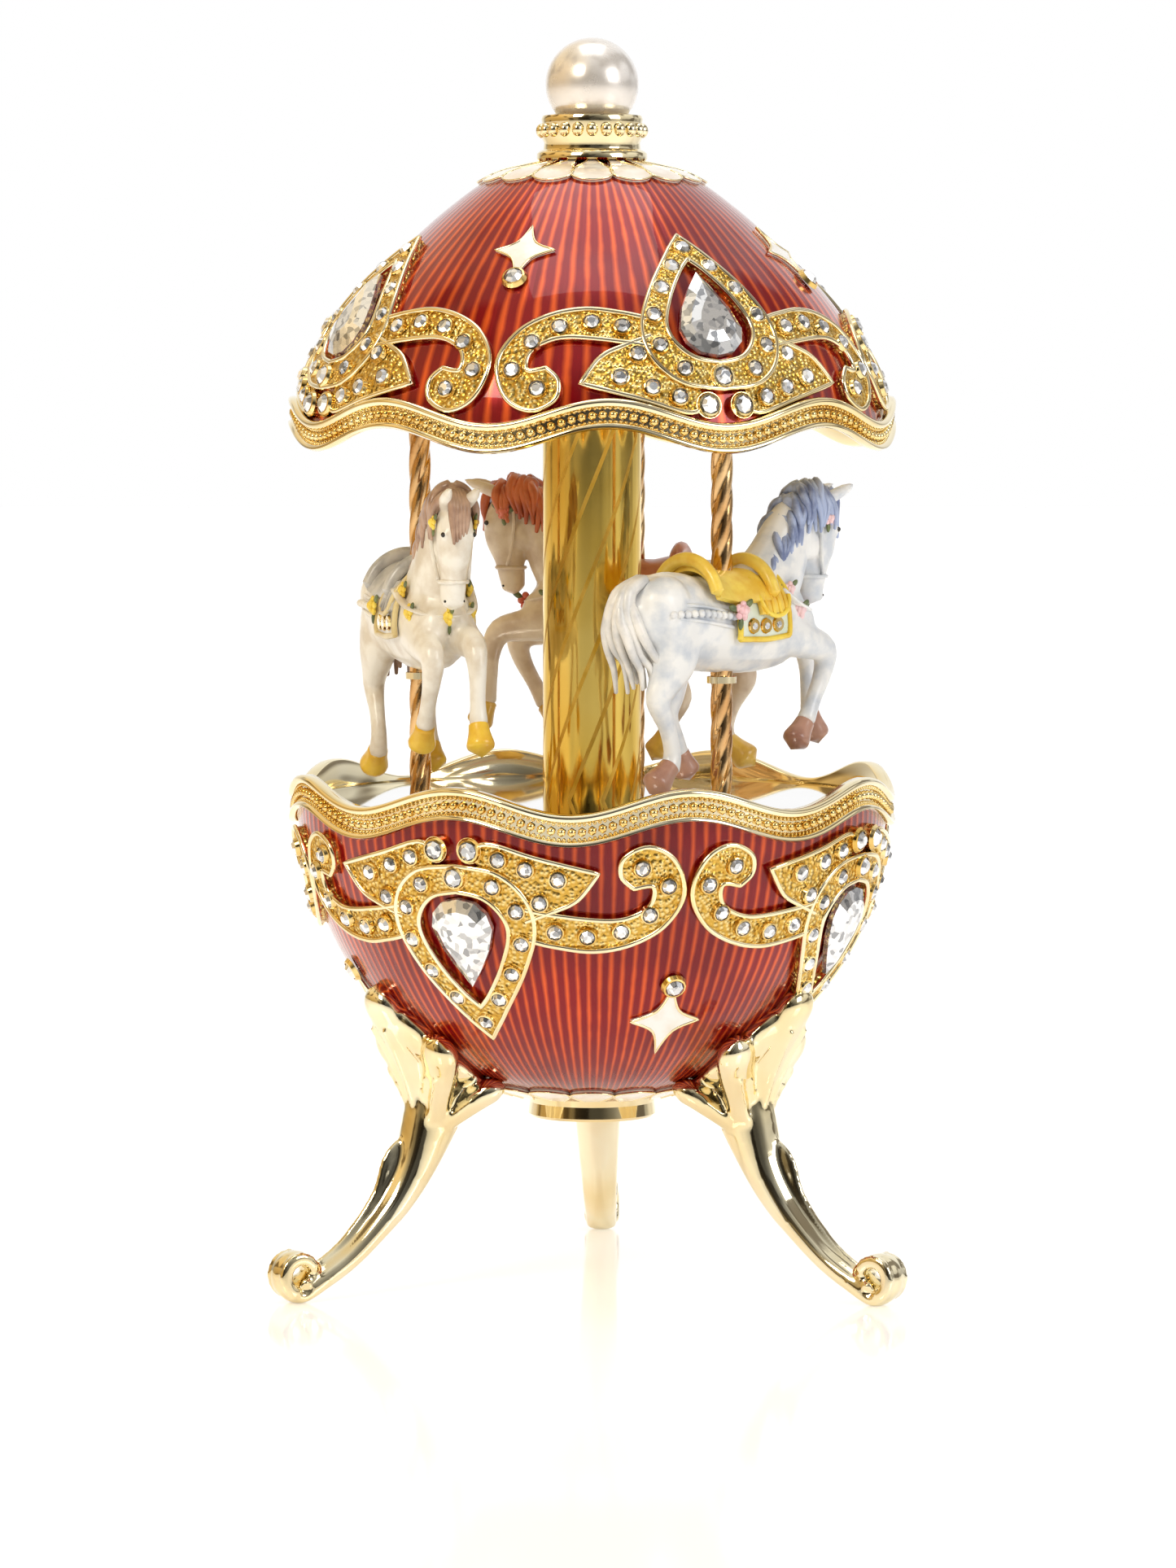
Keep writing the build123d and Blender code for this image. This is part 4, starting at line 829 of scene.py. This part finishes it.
# horses: forward, outward and up, from the foot of the pole
horseBody = {
    "trunk": [(-17.6, 0, 93.6, 2.4, 3.0), (-14.5, 0, 93.2, 4.6, 5.8), (-9.5, 0, 92.8, 5.4, 6.5),
              (-3.0, 0, 91.7, 5.0, 6.1), (3.5, 0, 91.6, 5.1, 6.4), (9.5, 0, 92.2, 4.9, 6.4),
              (13.6, 0, 92.6, 3.6, 4.4)],
    "neck": [(6.5, 0, 94.5, 4.4, 6.2), (10.2, 0, 99.0, 3.7, 5.2), (12.8, 0, 103.4, 3.0, 4.2),
             (15.4, 0, 106.8, 2.5, 3.3), (18.2, 0, 107.4, 2.1, 2.4)],
    "head": [(17.6, 0, 108.0, 2.1, 2.0), (19.0, 0, 105.4, 2.5, 2.9), (18.9, 0, 102.3, 2.4, 3.1),
             (18.4, 0, 99.2, 1.9, 2.2), (18.0, 0, 96.6, 1.75, 1.9), (17.7, 0, 95.0, 1.5, 1.6)],
    "outerHind": [(-11.5, 2.4, 92.0, 3.1, 4.6), (-12.6, 2.9, 87.6, 2.6, 3.7), (-14.6, 2.9, 84.2, 1.8, 2.4),
                  (-15.4, 2.8, 82.2, 1.5, 1.8), (-13.6, 2.8, 78.6, 1.1, 1.3), (-12.6, 2.8, 75.2, 1.15, 1.3),
                  (-13.2, 2.8, 73.0, 1.4, 1.5)],
    "innerHind": [(-9.5, -2.4, 91.0, 3.1, 4.4), (-7.0, -2.9, 86.4, 2.4, 3.2), (-6.6, -2.9, 82.8, 1.6, 1.9),
                  (-7.6, -2.8, 79.8, 1.3, 1.5), (-6.0, -2.8, 76.6, 1.1, 1.2), (-5.4, -2.8, 74.6, 1.35, 1.4)],
    "outerFore": [(9.0, 2.5, 91.0, 2.6, 3.8), (13.6, 2.8, 89.4, 2.1, 2.6), (17.6, 2.8, 88.0, 1.7, 1.9),
                  (17.4, 2.8, 85.0, 1.3, 1.4), (15.4, 2.8, 81.2, 1.1, 1.15), (13.9, 2.8, 78.4, 1.35, 1.35)],
    "innerFore": [(9.0, -2.5, 91.4, 2.6, 3.8), (14.6, -2.8, 90.0, 2.0, 2.5), (19.0, -2.8, 89.0, 1.7, 1.9),
                  (20.4, -2.8, 85.8, 1.25, 1.4), (20.6, -2.8, 81.8, 1.1, 1.15),
                  (20.9, -2.8, 79.0, 1.35, 1.35)]}
horseMasses = [  # place, radii
    ((13.6, 1.5, 91.6), (2.6, 2.3, 3.2)), ((13.6, -1.5, 91.6), (2.6, 2.3, 3.2)),
    ((-13.2, 1.8, 94.8), (4.4, 3.4, 4.2)), ((-13.2, -1.8, 94.8), (4.4, 3.4, 4.2)),
    ((16.6, 1.5, 102.6), (2.3, 1.1, 2.2)), ((16.6, -1.5, 102.6), (2.3, 1.1, 2.2)),
    ((20.6, 1.75, 104.3), (1.1, 0.7, 0.9)), ((20.6, -1.75, 104.3), (1.1, 0.7, 0.9)),
    ((18.4, 0.85, 95.3), (1.1, 0.75, 0.8)), ((18.4, -0.85, 95.3), (1.1, 0.75, 0.8)),
    ((-15.6, 2.8, 82.6), (1.3, 1.3, 1.5)), ((18.0, 2.8, 88.0), (1.3, 1.35, 1.4)),
    ((19.6, -2.8, 88.9), (1.3, 1.35, 1.4)), ((-2.0, 0, 97.2), (6.0, 3.9, 1.7))]
hooves = [  # top and bottom centres with radii
    ((-13.4, 2.8, 73.2), (-16.0, 2.8, 70.9), 1.4, 2.0), ((-5.2, -2.8, 74.4), (-3.9, -2.8, 72.0), 1.35, 1.9),
    ((13.6, 2.8, 78.0), (11.7, 2.8, 75.6), 1.35, 1.9), ((21.0, -2.8, 78.6), (22.2, -2.8, 75.8), 1.35, 1.9)]
maneRoots = [(19.4, 110.0), (17.6, 110.9), (15.6, 110.6), (13.6, 109.0), (12.0, 106.9), (10.4, 104.6),
             (8.9, 102.2),
             (7.5, 99.8)]
horseColors = {
    "horse_front": {"coat": ((0.90, 0.86, 0.77), (0.72, 0.64, 0.52)),
                    "mane": ((0.52, 0.34, 0.24), (0.26, 0.14, 0.09)),
                    "tail": ((0.52, 0.36, 0.28), (0.30, 0.18, 0.12)),
                    "hoof": ((0.92, 0.62, 0.06), (0.80, 0.45, 0.03)),
                    "saddle": ((0.62, 0.60, 0.56), (0.34, 0.33, 0.32)),
                    "blanket": ((0.80, 0.78, 0.70), (0.60, 0.55, 0.48)),
                    "trim": ((0.80, 0.66, 0.34), (0.62, 0.46, 0.18)),
                    "rose": ((0.96, 0.74, 0.10), (0.80, 0.50, 0.03)),
                    "slot": "horse_cream"},
    "horse_right": {"coat": ((0.88, 0.88, 0.87), (0.62, 0.66, 0.72)),
                    "mane": ((0.42, 0.50, 0.72), (0.14, 0.18, 0.34)),
                    "tail": ((0.88, 0.85, 0.80), (0.60, 0.60, 0.60)),
                    "hoof": ((0.50, 0.27, 0.19), (0.34, 0.16, 0.11)),
                    "saddle": ((0.96, 0.72, 0.12), (0.84, 0.52, 0.05)),
                    "blanket": ((0.80, 0.86, 0.74), (0.64, 0.74, 0.60)),
                    "trim": ((0.95, 0.72, 0.08), (0.84, 0.54, 0.03)),
                    "rose": ((0.95, 0.66, 0.68), (0.80, 0.42, 0.46)),
                    "slot": "horse_white"},
    "horse_rear": {"coat": ((0.84, 0.72, 0.56), (0.64, 0.50, 0.36)),
                   "mane": ((0.66, 0.16, 0.05), (0.40, 0.07, 0.02)),
                   "tail": ((0.66, 0.18, 0.06), (0.42, 0.08, 0.02)),
                   "hoof": ((0.85, 0.55, 0.10), (0.64, 0.36, 0.05)),
                   "saddle": ((0.56, 0.20, 0.10), (0.36, 0.10, 0.05)),
                   "blanket": ((0.82, 0.74, 0.60), (0.62, 0.52, 0.40)),
                   "trim": ((0.85, 0.60, 0.15), (0.66, 0.42, 0.07)),
                   "rose": ((0.80, 0.20, 0.12), (0.56, 0.08, 0.05)),
                   "slot": "horse_tan"}}
leafGreen = paintedResin("leafGreen", (0.16, 0.20, 0.07), (0.07, 0.10, 0.03), 0.35)
eyeBlack = paintedResin("eyeBlack", (0.015, 0.012, 0.01), (0.03, 0.02, 0.02), 0.12)


def lock(bm, start, drift, length, side, radius, wave, seed):
    # one wavy tapering lock of hair
    u, z = start
    stations = []
    for i in range(7):
        t = i / 6
        swing = wave * sin(seed + 5.5 * t)
        out = side * (0.4 + 2.6 * sin(min(1.0, 1.25 * t) * 0.5 * pi))
        stations.append((u + drift * t + swing, out, z - length * t * t * 0.75 - length * 0.25 * t,
                         radius * (1.0 - 0.72 * t * t) * 0.8, radius * (1.0 - 0.72 * t * t)))
    tubeAlong(bm, stations, side=(0.3, 1, 0), segments=8, steps=3)


def rose(petalsBm, leavesBm, place, size, facing):
    # layered petals round a bud, with leaves beside
    for layer, (count, reach, lift) in enumerate(((1, 0.0, 0.42), (3, 0.32, 0.25), (5, 0.68, 0.0))):
        for i in range(count):
            a = 2 * pi * i / count + 0.7 * layer
            offset = Vector((reach * size * cos(a), facing * lift * size, reach * size * sin(a)))
            roundMass(petalsBm, Vector(place) + offset, (0.46 * size, 0.30 * size, 0.46 * size), segments=8)
    for a in (0.6, 2.9, 4.6):
        offset = Vector((1.35 * size * cos(a), -0.1 * facing * size, 1.35 * size * sin(a)))
        roundMass(leavesBm, Vector(place) + offset, (0.75 * size, 0.22 * size, 0.38 * size), -degrees(a), "Y",
                  8)


def trunkHalf(u):
    # half width, half height and middle height of the trunk at a place along it
    sections = horseBody["trunk"]
    for a, b in zip(sections, sections[1:]):
        if a[0] <= u <= b[0]:
            t = (u - a[0]) / (b[0] - a[0])
            return tuple(a[k] + (b[k] - a[k]) * t for k in (3, 4, 2))
    return sections[0][3], sections[0][4], sections[0][2]


def trunkPoint(u, turn, lift):
    # a point over the trunk, turn measured from the back ridge down the outer side
    width, height, middle = trunkHalf(u)
    a = radians(turn)
    return Vector((u, (width + lift) * sin(a), middle + (height + lift) * cos(a)))


def wrapSheet(low, high, lowTurn, highTurn, lift, thickness):
    # a padded cover that follows the trunk
    bm = bmesh.new()
    bmesh.ops.create_grid(bm, x_segments=14, y_segments=16, size=0.5)
    for v in bm.verts:
        u = low + (high - low) * (v.co.x + 0.5)
        turn = lowTurn + (highTurn - lowTurn) * (v.co.y + 0.5)
        v.co = trunkPoint(u, turn, lift)
    bmesh.ops.recalc_face_normals(bm, faces=bm.faces)
    bmesh.ops.solidify(bm, geom=bm.faces[:], thickness=-thickness)
    bmesh.ops.recalc_face_normals(bm, faces=bm.faces)
    return bm


def beadLine(bm, points, radius, segments=6):
    for point in points:
        bmesh.ops.create_uvsphere(bm, u_segments=segments, v_segments=segments - 1, radius=radius,
                                  matrix=Matrix.Translation(point))


def makeHorse(name, azimuth):
    look = horseColors[name]
    heading = radians(azimuth + 90)
    ahead, outward = Vector((sin(heading), -cos(heading), 0)), around(1, azimuth)
    foot = around(pole["circle"], azimuth)
    place = Matrix((ahead, outward, (0, 0, 1))).transposed().to_4x4()
    place.translation = foot
    coat, hair, tail, shoe = bmesh.new(), bmesh.new(), bmesh.new(), bmesh.new()
    cover, seat, trim, petalsBm, leavesBm = (bmesh.new() for _ in range(5))
    gems, eyes, cups, straps = bmesh.new(), bmesh.new(), bmesh.new(), bmesh.new()
    for path in horseBody.values():
        tubeAlong(coat, path, segments=16)
    for centre, radii in horseMasses:
        roundMass(coat, centre, radii)
    for side in (-1, 1):
        tubeAlong(coat, [(18.2, side * 1.3, 108.0, 0.8, 0.9), (20.6, side * 1.7, 109.0, 0.9, 1.0),
                         (23.2, side * 1.9, 110.0, 0.6, 0.75), (24.6, side * 1.9, 110.6, 0.2, 0.3)],
                  segments=8)
        roundMass(eyes, (21.2, side * 2.15, 104.4), (0.42, 0.3, 0.36), segments=10)
        roundMass(eyes, (18.9, side * 1.25, 95.4), (0.3, 0.25, 0.22), segments=8)
    coat = oneSkin(coat, 0.36, 4)
    for top, bottom, r0, r1 in hooves:
        a, b = Vector(top), Vector(bottom)
        tubeAlong(shoe, [(*(a + (b - a) * t), r, r) for t,
                         r in ((-0.1, r0), (0.3, r0 * 1.12), (0.8, r1), (1.0, r1 * 0.94))],
                  segments=20)
    for i, root in enumerate(maneRoots):
        roundMass(hair, (root[0] - 0.2, 0, root[1] - 1.0), (1.5, 1.5, 1.4), 20 * (i % 3), "Y", 10)
        for side in (-1, 1):
            for k in range(3):
                lock(hair, (root[0] - 0.5 * k + 0.3, root[1] - 0.25 * k), -1.3 + 0.9 * rng.random(),
                     4.6 + 1.8 * rng.random(), side, 0.85, 0.45, rng.random() * 6)
    for k in range(5):
        tubeAlong(hair, [(19.4 + 0.3 * k, 0.9 * (k - 2) * 0.5, 109.8, 0.5, 0.8),
                         (21.3 + 0.1 * k, 0.5 * (k - 2), 108.6, 0.6, 0.8),
                         (21.9, 0.5 * (k - 2), 106.4, 0.5, 0.6),
                         (21.6 + 0.2 * k, 0.45 * (k - 2), 104.4 - 0.3 * k, 0.2, 0.25)],
                  segments=7, steps=3)
    for k in range(12):
        spread = (k - 5.5) / 5.5
        wave = rng.random() * 6
        stations = [(-15.6, 0.7 * spread, 98.4, 0.7, 0.8)]
        for i in range(1, 8):
            t = i / 7
            stations.append((-16.8 - 3.2 * sin(pi * min(1, t * 1.1)) + 1.9 * (k % 3) * t - 0.6,
                             2.7 * spread * min(1, 1.6 * t) + 0.35 * sin(wave + 6 * t),
                             98.6 - 15.4 * t * (0.86 + 0.14 * rng.random()) + 0.9 * sin(pi * t),
                             0.85 * (1 - 0.7 * t * t), 1.0 * (1 - 0.7 * t * t)))
        tubeAlong(tail, stations, side=(0.2, 1, 0), segments=8, steps=3)
    mergeInto(cover, wrapSheet(-2.2, 7.6, -104, 104, 0.15, 0.45))
    mergeInto(seat, wrapSheet(-6.6, 3.6, -62, 62, 0.75, 0.8))
    mergeInto(seat, wrapSheet(1.6, 7.4, -76, 76, 0.7, 0.6))
    for u, rise in ((-6.8, 1.7), (4.4, 2.0)):
        arch = [trunkPoint(u, turn, rise * cos(radians(turn)) + 0.6) for turn in range(-56, 57, 14)]
        tubeAlong(seat, [(*p, 0.9, 0.95) for p in arch], side=(1, 0, 0), segments=10)
    for turnSign in (-1, 1):
        edge = [trunkPoint(u, turnSign * 103, 0.6) for u in (-2.2, 0.5, 3.0, 5.5, 7.6)]
        down = [trunkPoint(7.6, turnSign * turn, 0.6) for turn in (20, 45, 70, 95, 103)]
        back = [trunkPoint(-2.2, turnSign * turn, 0.6) for turn in (20, 45, 70, 95, 103)]
        flap = [trunkPoint(u, turnSign * turn, 1.35) for u, turn in
                ((1.8, 30), (1.7, 60), (2.6, 74), (4.6, 79), (6.6, 74), (7.4, 58), (7.2, 30))]
        for run in (edge, down, back):
            tubeAlong(trim, [(*p, 0.42, 0.42) for p in run], side=(0.3, 0.2, 1), segments=7, steps=3)
        tubeAlong(trim, [(*p, 0.34, 0.34) for p in flap], side=(0.3, 0.2, 1), segments=7, steps=3)
        for girth in range(4):
            run = [trunkPoint(2.6 + 1.3 * girth, turnSign * turn, 1.3) for turn in (42, 54, 66, 76)]
            tubeAlong(seat, [(*p, 0.3, 0.34) for p in run], side=(1, 0, 0.2), segments=6, steps=2)
        for u in (0.3, 2.7, 5.1):
            spot = trunkPoint(u, turnSign * 88, 0.75)
            turned = Matrix.Translation(spot) @ Matrix.Rotation(-turnSign * 0.5 * pi, 4, "X")
            bmesh.ops.create_cone(gems, cap_ends=True, segments=8, radius1=0.85, radius2=0.45, depth=0.45,
                                  matrix=turned)
            bmesh.ops.create_cone(cups, cap_ends=True, segments=12, radius1=1.1, radius2=0.95, depth=0.3,
                                  matrix=turned)
        crupper = [trunkPoint(-14.6 + 1.16 * i, turnSign * (84 - 0.8 * i), 0.4) for i in range(11)]
        beadLine(straps, crupper, 0.55, 8)
        for offset in (-9, 9):
            line = [trunkPoint(u, turnSign * (80 + offset), 0.12) for u in (-15.0, -11.0, -7.0, -3.0)]
            tubeAlong(straps, [(*p, 0.28, 0.28) for p in line], side=(0, 0, 1), segments=6, steps=3)
        rose(petalsBm, leavesBm, trunkPoint(-2.4, turnSign * 72, 1.4), 1.25, turnSign)
        rose(petalsBm, leavesBm, (8.6, turnSign * 4.6, 96.6), 1.0, turnSign)
        rose(petalsBm, leavesBm, (11.0, turnSign * 4.3, 93.6), 1.15, turnSign)
        rose(petalsBm, leavesBm, (18.6, turnSign * 2.9, 106.0), 0.95, turnSign)
        bridle = [(17.2, turnSign * 2.3, 108.2), (17.0, turnSign * 2.8, 104.6), (17.4, turnSign * 2.5, 101.0),
                  (18.2, turnSign * 2.1, 98.4)]
        tubeAlong(straps, [(*p, 0.26, 0.3) for p in bridle], side=(1, 0, 0), segments=6, steps=3)
    breast = [(6.6, 5.1, 96.6), (10.2, 4.7, 94.6), (13.9, 3.0, 93.6), (15.5, 0, 93.2), (13.9, -3.0, 93.6),
              (10.2, -4.7, 94.6), (6.6, -5.1, 96.6)]
    tubeAlong(straps, [(*p, 0.3, 0.75) for p in breast], side=(0, 0, 1), segments=8)
    rose(petalsBm, leavesBm, (15.9, 0, 93.2), 1.2, 1)
    noseBand = [Vector((18.2 + 2.1 * cos(a), 1.95 * sin(a),
                        98.0)) for a in [2 * pi * i / 12 for i in range(13)]]
    tubeAlong(straps, [(*p, 0.3, 0.26) for p in noseBand], side=(0, 0, 1), segments=6, steps=2)
    finish = {key: paintedResin(name + "_" + key, *look[key]) for key in
              ("coat", "mane", "tail", "hoof", "saddle", "blanket", "trim", "rose")}
    pieces = [("coat", coat, finish["coat"], 0), ("mane", hair, finish["mane"], 0),
              ("tail", tail, finish["tail"], 0),
              ("hooves", shoe, finish["hoof"], 0), ("blanket", cover, finish["blanket"], 50),
              ("saddle", seat, finish["saddle"], 50), ("trim", trim, finish["trim"], 0),
              ("roses", petalsBm, finish["rose"], 0), ("leaves", leavesBm, leafGreen, 0),
              ("eyes", eyes, eyeBlack, 0), ("straps", straps, finish["coat"], 0)]
    for part, bm, mat, sharp in pieces:
        bmesh.ops.transform(bm, matrix=place, verts=bm.verts)
        bmesh.ops.recalc_face_normals(bm, faces=bm.faces)
        finishPiece(name + "_" + part, bm, mat, "carousel", [name] if part == "coat" else (),
                    sharp=sharp)
    for part, bm, mat, slotName in (("gems", gems, clearStone, "crystal"),
                                    ("gem_cups", cups, beadGold, "polished_gold")):
        bmesh.ops.transform(bm, matrix=place, verts=bm.verts)
        bmesh.ops.recalc_face_normals(bm, faces=bm.faces)
        finishPiece(name + "_" + part, bm, mat, "carousel", smooth=False)


for name, azimuth in zip(("horse_front", "horse_right", "horse_rear"), pole["azimuths"]):
    makeHorse(name, azimuth)
print("horses made")

# finishes of the pieces kept from the frame
slotFinish = {"polished_gold": polishedGold, "steel": steelMetal, "movement_brass": brassMetal,
              "deck_silver": mirrorSilver, "knob_resin": knobResin, "red_enamel": bowlEnamel,
              "horse_cream": creamEnamel, "horse_white": creamEnamel, "horse_tan": creamEnamel}
slotOf = {entry["node"]: entry["material_slot"] for entry in frame["record"]["subparts"]}
for node, piece in frame["nodes"].items():
    if slotOf.get(node) in slotFinish and piece.data.materials:
        for slotIndex in range(len(piece.material_slots)):
            piece.material_slots[slotIndex].material = slotFinish[slotOf[node]]

# floor, light and camera
floorMat, floorTree, floorShader = nodeMaterial("floorGloss", (0.93, 0.93, 0.93), 0.1, Emission_Strength=0.30)
floorShader.inputs["Emission Color"].default_value = (1, 1, 1, 1)
tone = rampOf(floorTree, noiseOf(floorTree, 3.0).outputs["Fac"],
              [(0.3, (0.92, 0.92, 0.92)), (0.7, (0.95, 0.95, 0.95))])
floorTree.links.new(tone, floorShader.inputs["Base Color"])
floorBm = bmesh.new()
bmesh.ops.create_grid(floorBm, x_segments=2, y_segments=2, size=4.0)
floorMesh = bpy.data.meshes.new("floor")
floorBm.to_mesh(floorMesh)
floorBm.free()
floorMesh.materials.append(floorMat)
floor = bpy.data.objects.new("floor", floorMesh)
scene.collection.objects.link(floor)

world = bpy.data.worlds.new("studio")
scene.world = world
world.use_nodes = True
skyTree = world.node_tree
direction = addNode(skyTree, "ShaderNodeTexCoord").outputs["Generated"]
skyParts = addNode(skyTree, "ShaderNodeSeparateXYZ", {"Vector": direction}).outputs
skyFront = halfRange(skyTree, skyParts["Y"])
# bright above, dimmer near the table's level
skyTone = rampOf(skyTree, halfRange(skyTree, skyParts["Z"]),
                 [(0.0, (0.5, 0.5, 0.5)), (0.46, (0.42, 0.41, 0.40)), (0.56, (0.62, 0.61, 0.60)),
                  (0.74, (1.0, 1.0, 1.0)), (1.0, (0.8, 0.8, 0.8))])
# warm on the left, dark in front, dark screens between the soft boxes, white wall behind
sideTone = rampOf(skyTree, halfRange(skyTree, skyParts["X"]),
                  [(0.0, (1.0, 0.66, 0.24)), (0.24, (1.0, 0.82, 0.52)), (0.5, (1.0, 1.0, 1.0))])
frontTone = rampOf(skyTree, skyFront, [(0.02, (0.12, 0.12, 0.12)), (0.12, (0.4, 0.4, 0.4)),
                                       (0.26, (1.0, 1.0, 1.0))])
screens = addNode(skyTree, "ShaderNodeTexNoise", {"Vector": direction, "Scale": 2.2, "Detail": 1.0})
screenTone = rampOf(skyTree, screens.outputs["Fac"], [(0.43, (0.16, 0.13, 0.10)), (0.50, (1.0, 1.0, 1.0))])
wallPart = rampOf(skyTree, skyFront, [(0.84, (0, 0, 0)), (0.97, (1, 1, 1))])
white = (1.0, 1.0, 1.0, 1.0)
sky = mixOf(skyTree, 1.0, skyTone, sideTone, "MULTIPLY")
sky = mixOf(skyTree, 1.0, sky, frontTone, "MULTIPLY")
sky = mixOf(skyTree, 0.85, sky, screenTone, "MULTIPLY")
sky = mixOf(skyTree, wallPart, sky, white)
sky = mixOf(skyTree, addNode(skyTree, "ShaderNodeLightPath").outputs["Is Camera Ray"], sky, white)
skyTree.links.new(sky, skyTree.nodes["Background"].inputs["Color"])
skyTree.nodes["Background"].inputs["Strength"].default_value = 1.0


def softLight(name, place, target, size, energy, color=(1, 1, 1)):
    data = bpy.data.lights.new(name, "AREA")
    data.energy = energy
    data.size = size
    data.color = color
    light = bpy.data.objects.new(name, data)
    light.location = place
    light.rotation_euler = (Vector(target) - Vector(place)).to_track_quat("-Z", "Y").to_euler()
    scene.collection.objects.link(light)


softLight("keyLight", (-0.5, -0.7, 0.7), (0, 0, 0.09), 0.35, 4.2, (1.0, 0.93, 0.80))
softLight("fillLight", (0.7, -0.5, 0.45), (0, 0, 0.08), 0.4, 2.2)
softLight("topLight", (0.0, 0.1, 0.9), (0, 0, 0.1), 0.5, 1.5)

view = {"lens": 134.5, "sensor": 36, "place": (-0.00056, -0.81, 0.129), "target": (-0.00056, 0, 0.069)}
cameraData = bpy.data.cameras.new("camera")
cameraData.lens = view["lens"]
cameraData.sensor_width = view["sensor"]
camera = bpy.data.objects.new("camera", cameraData)
cameraPlace, cameraTarget = Vector(view["place"]), Vector(view["target"])
camera.location = cameraPlace
camera.rotation_euler = (cameraTarget - cameraPlace).to_track_quat("-Z", "Y").to_euler()
scene.collection.objects.link(camera)
scene.camera = camera
print("stage made")
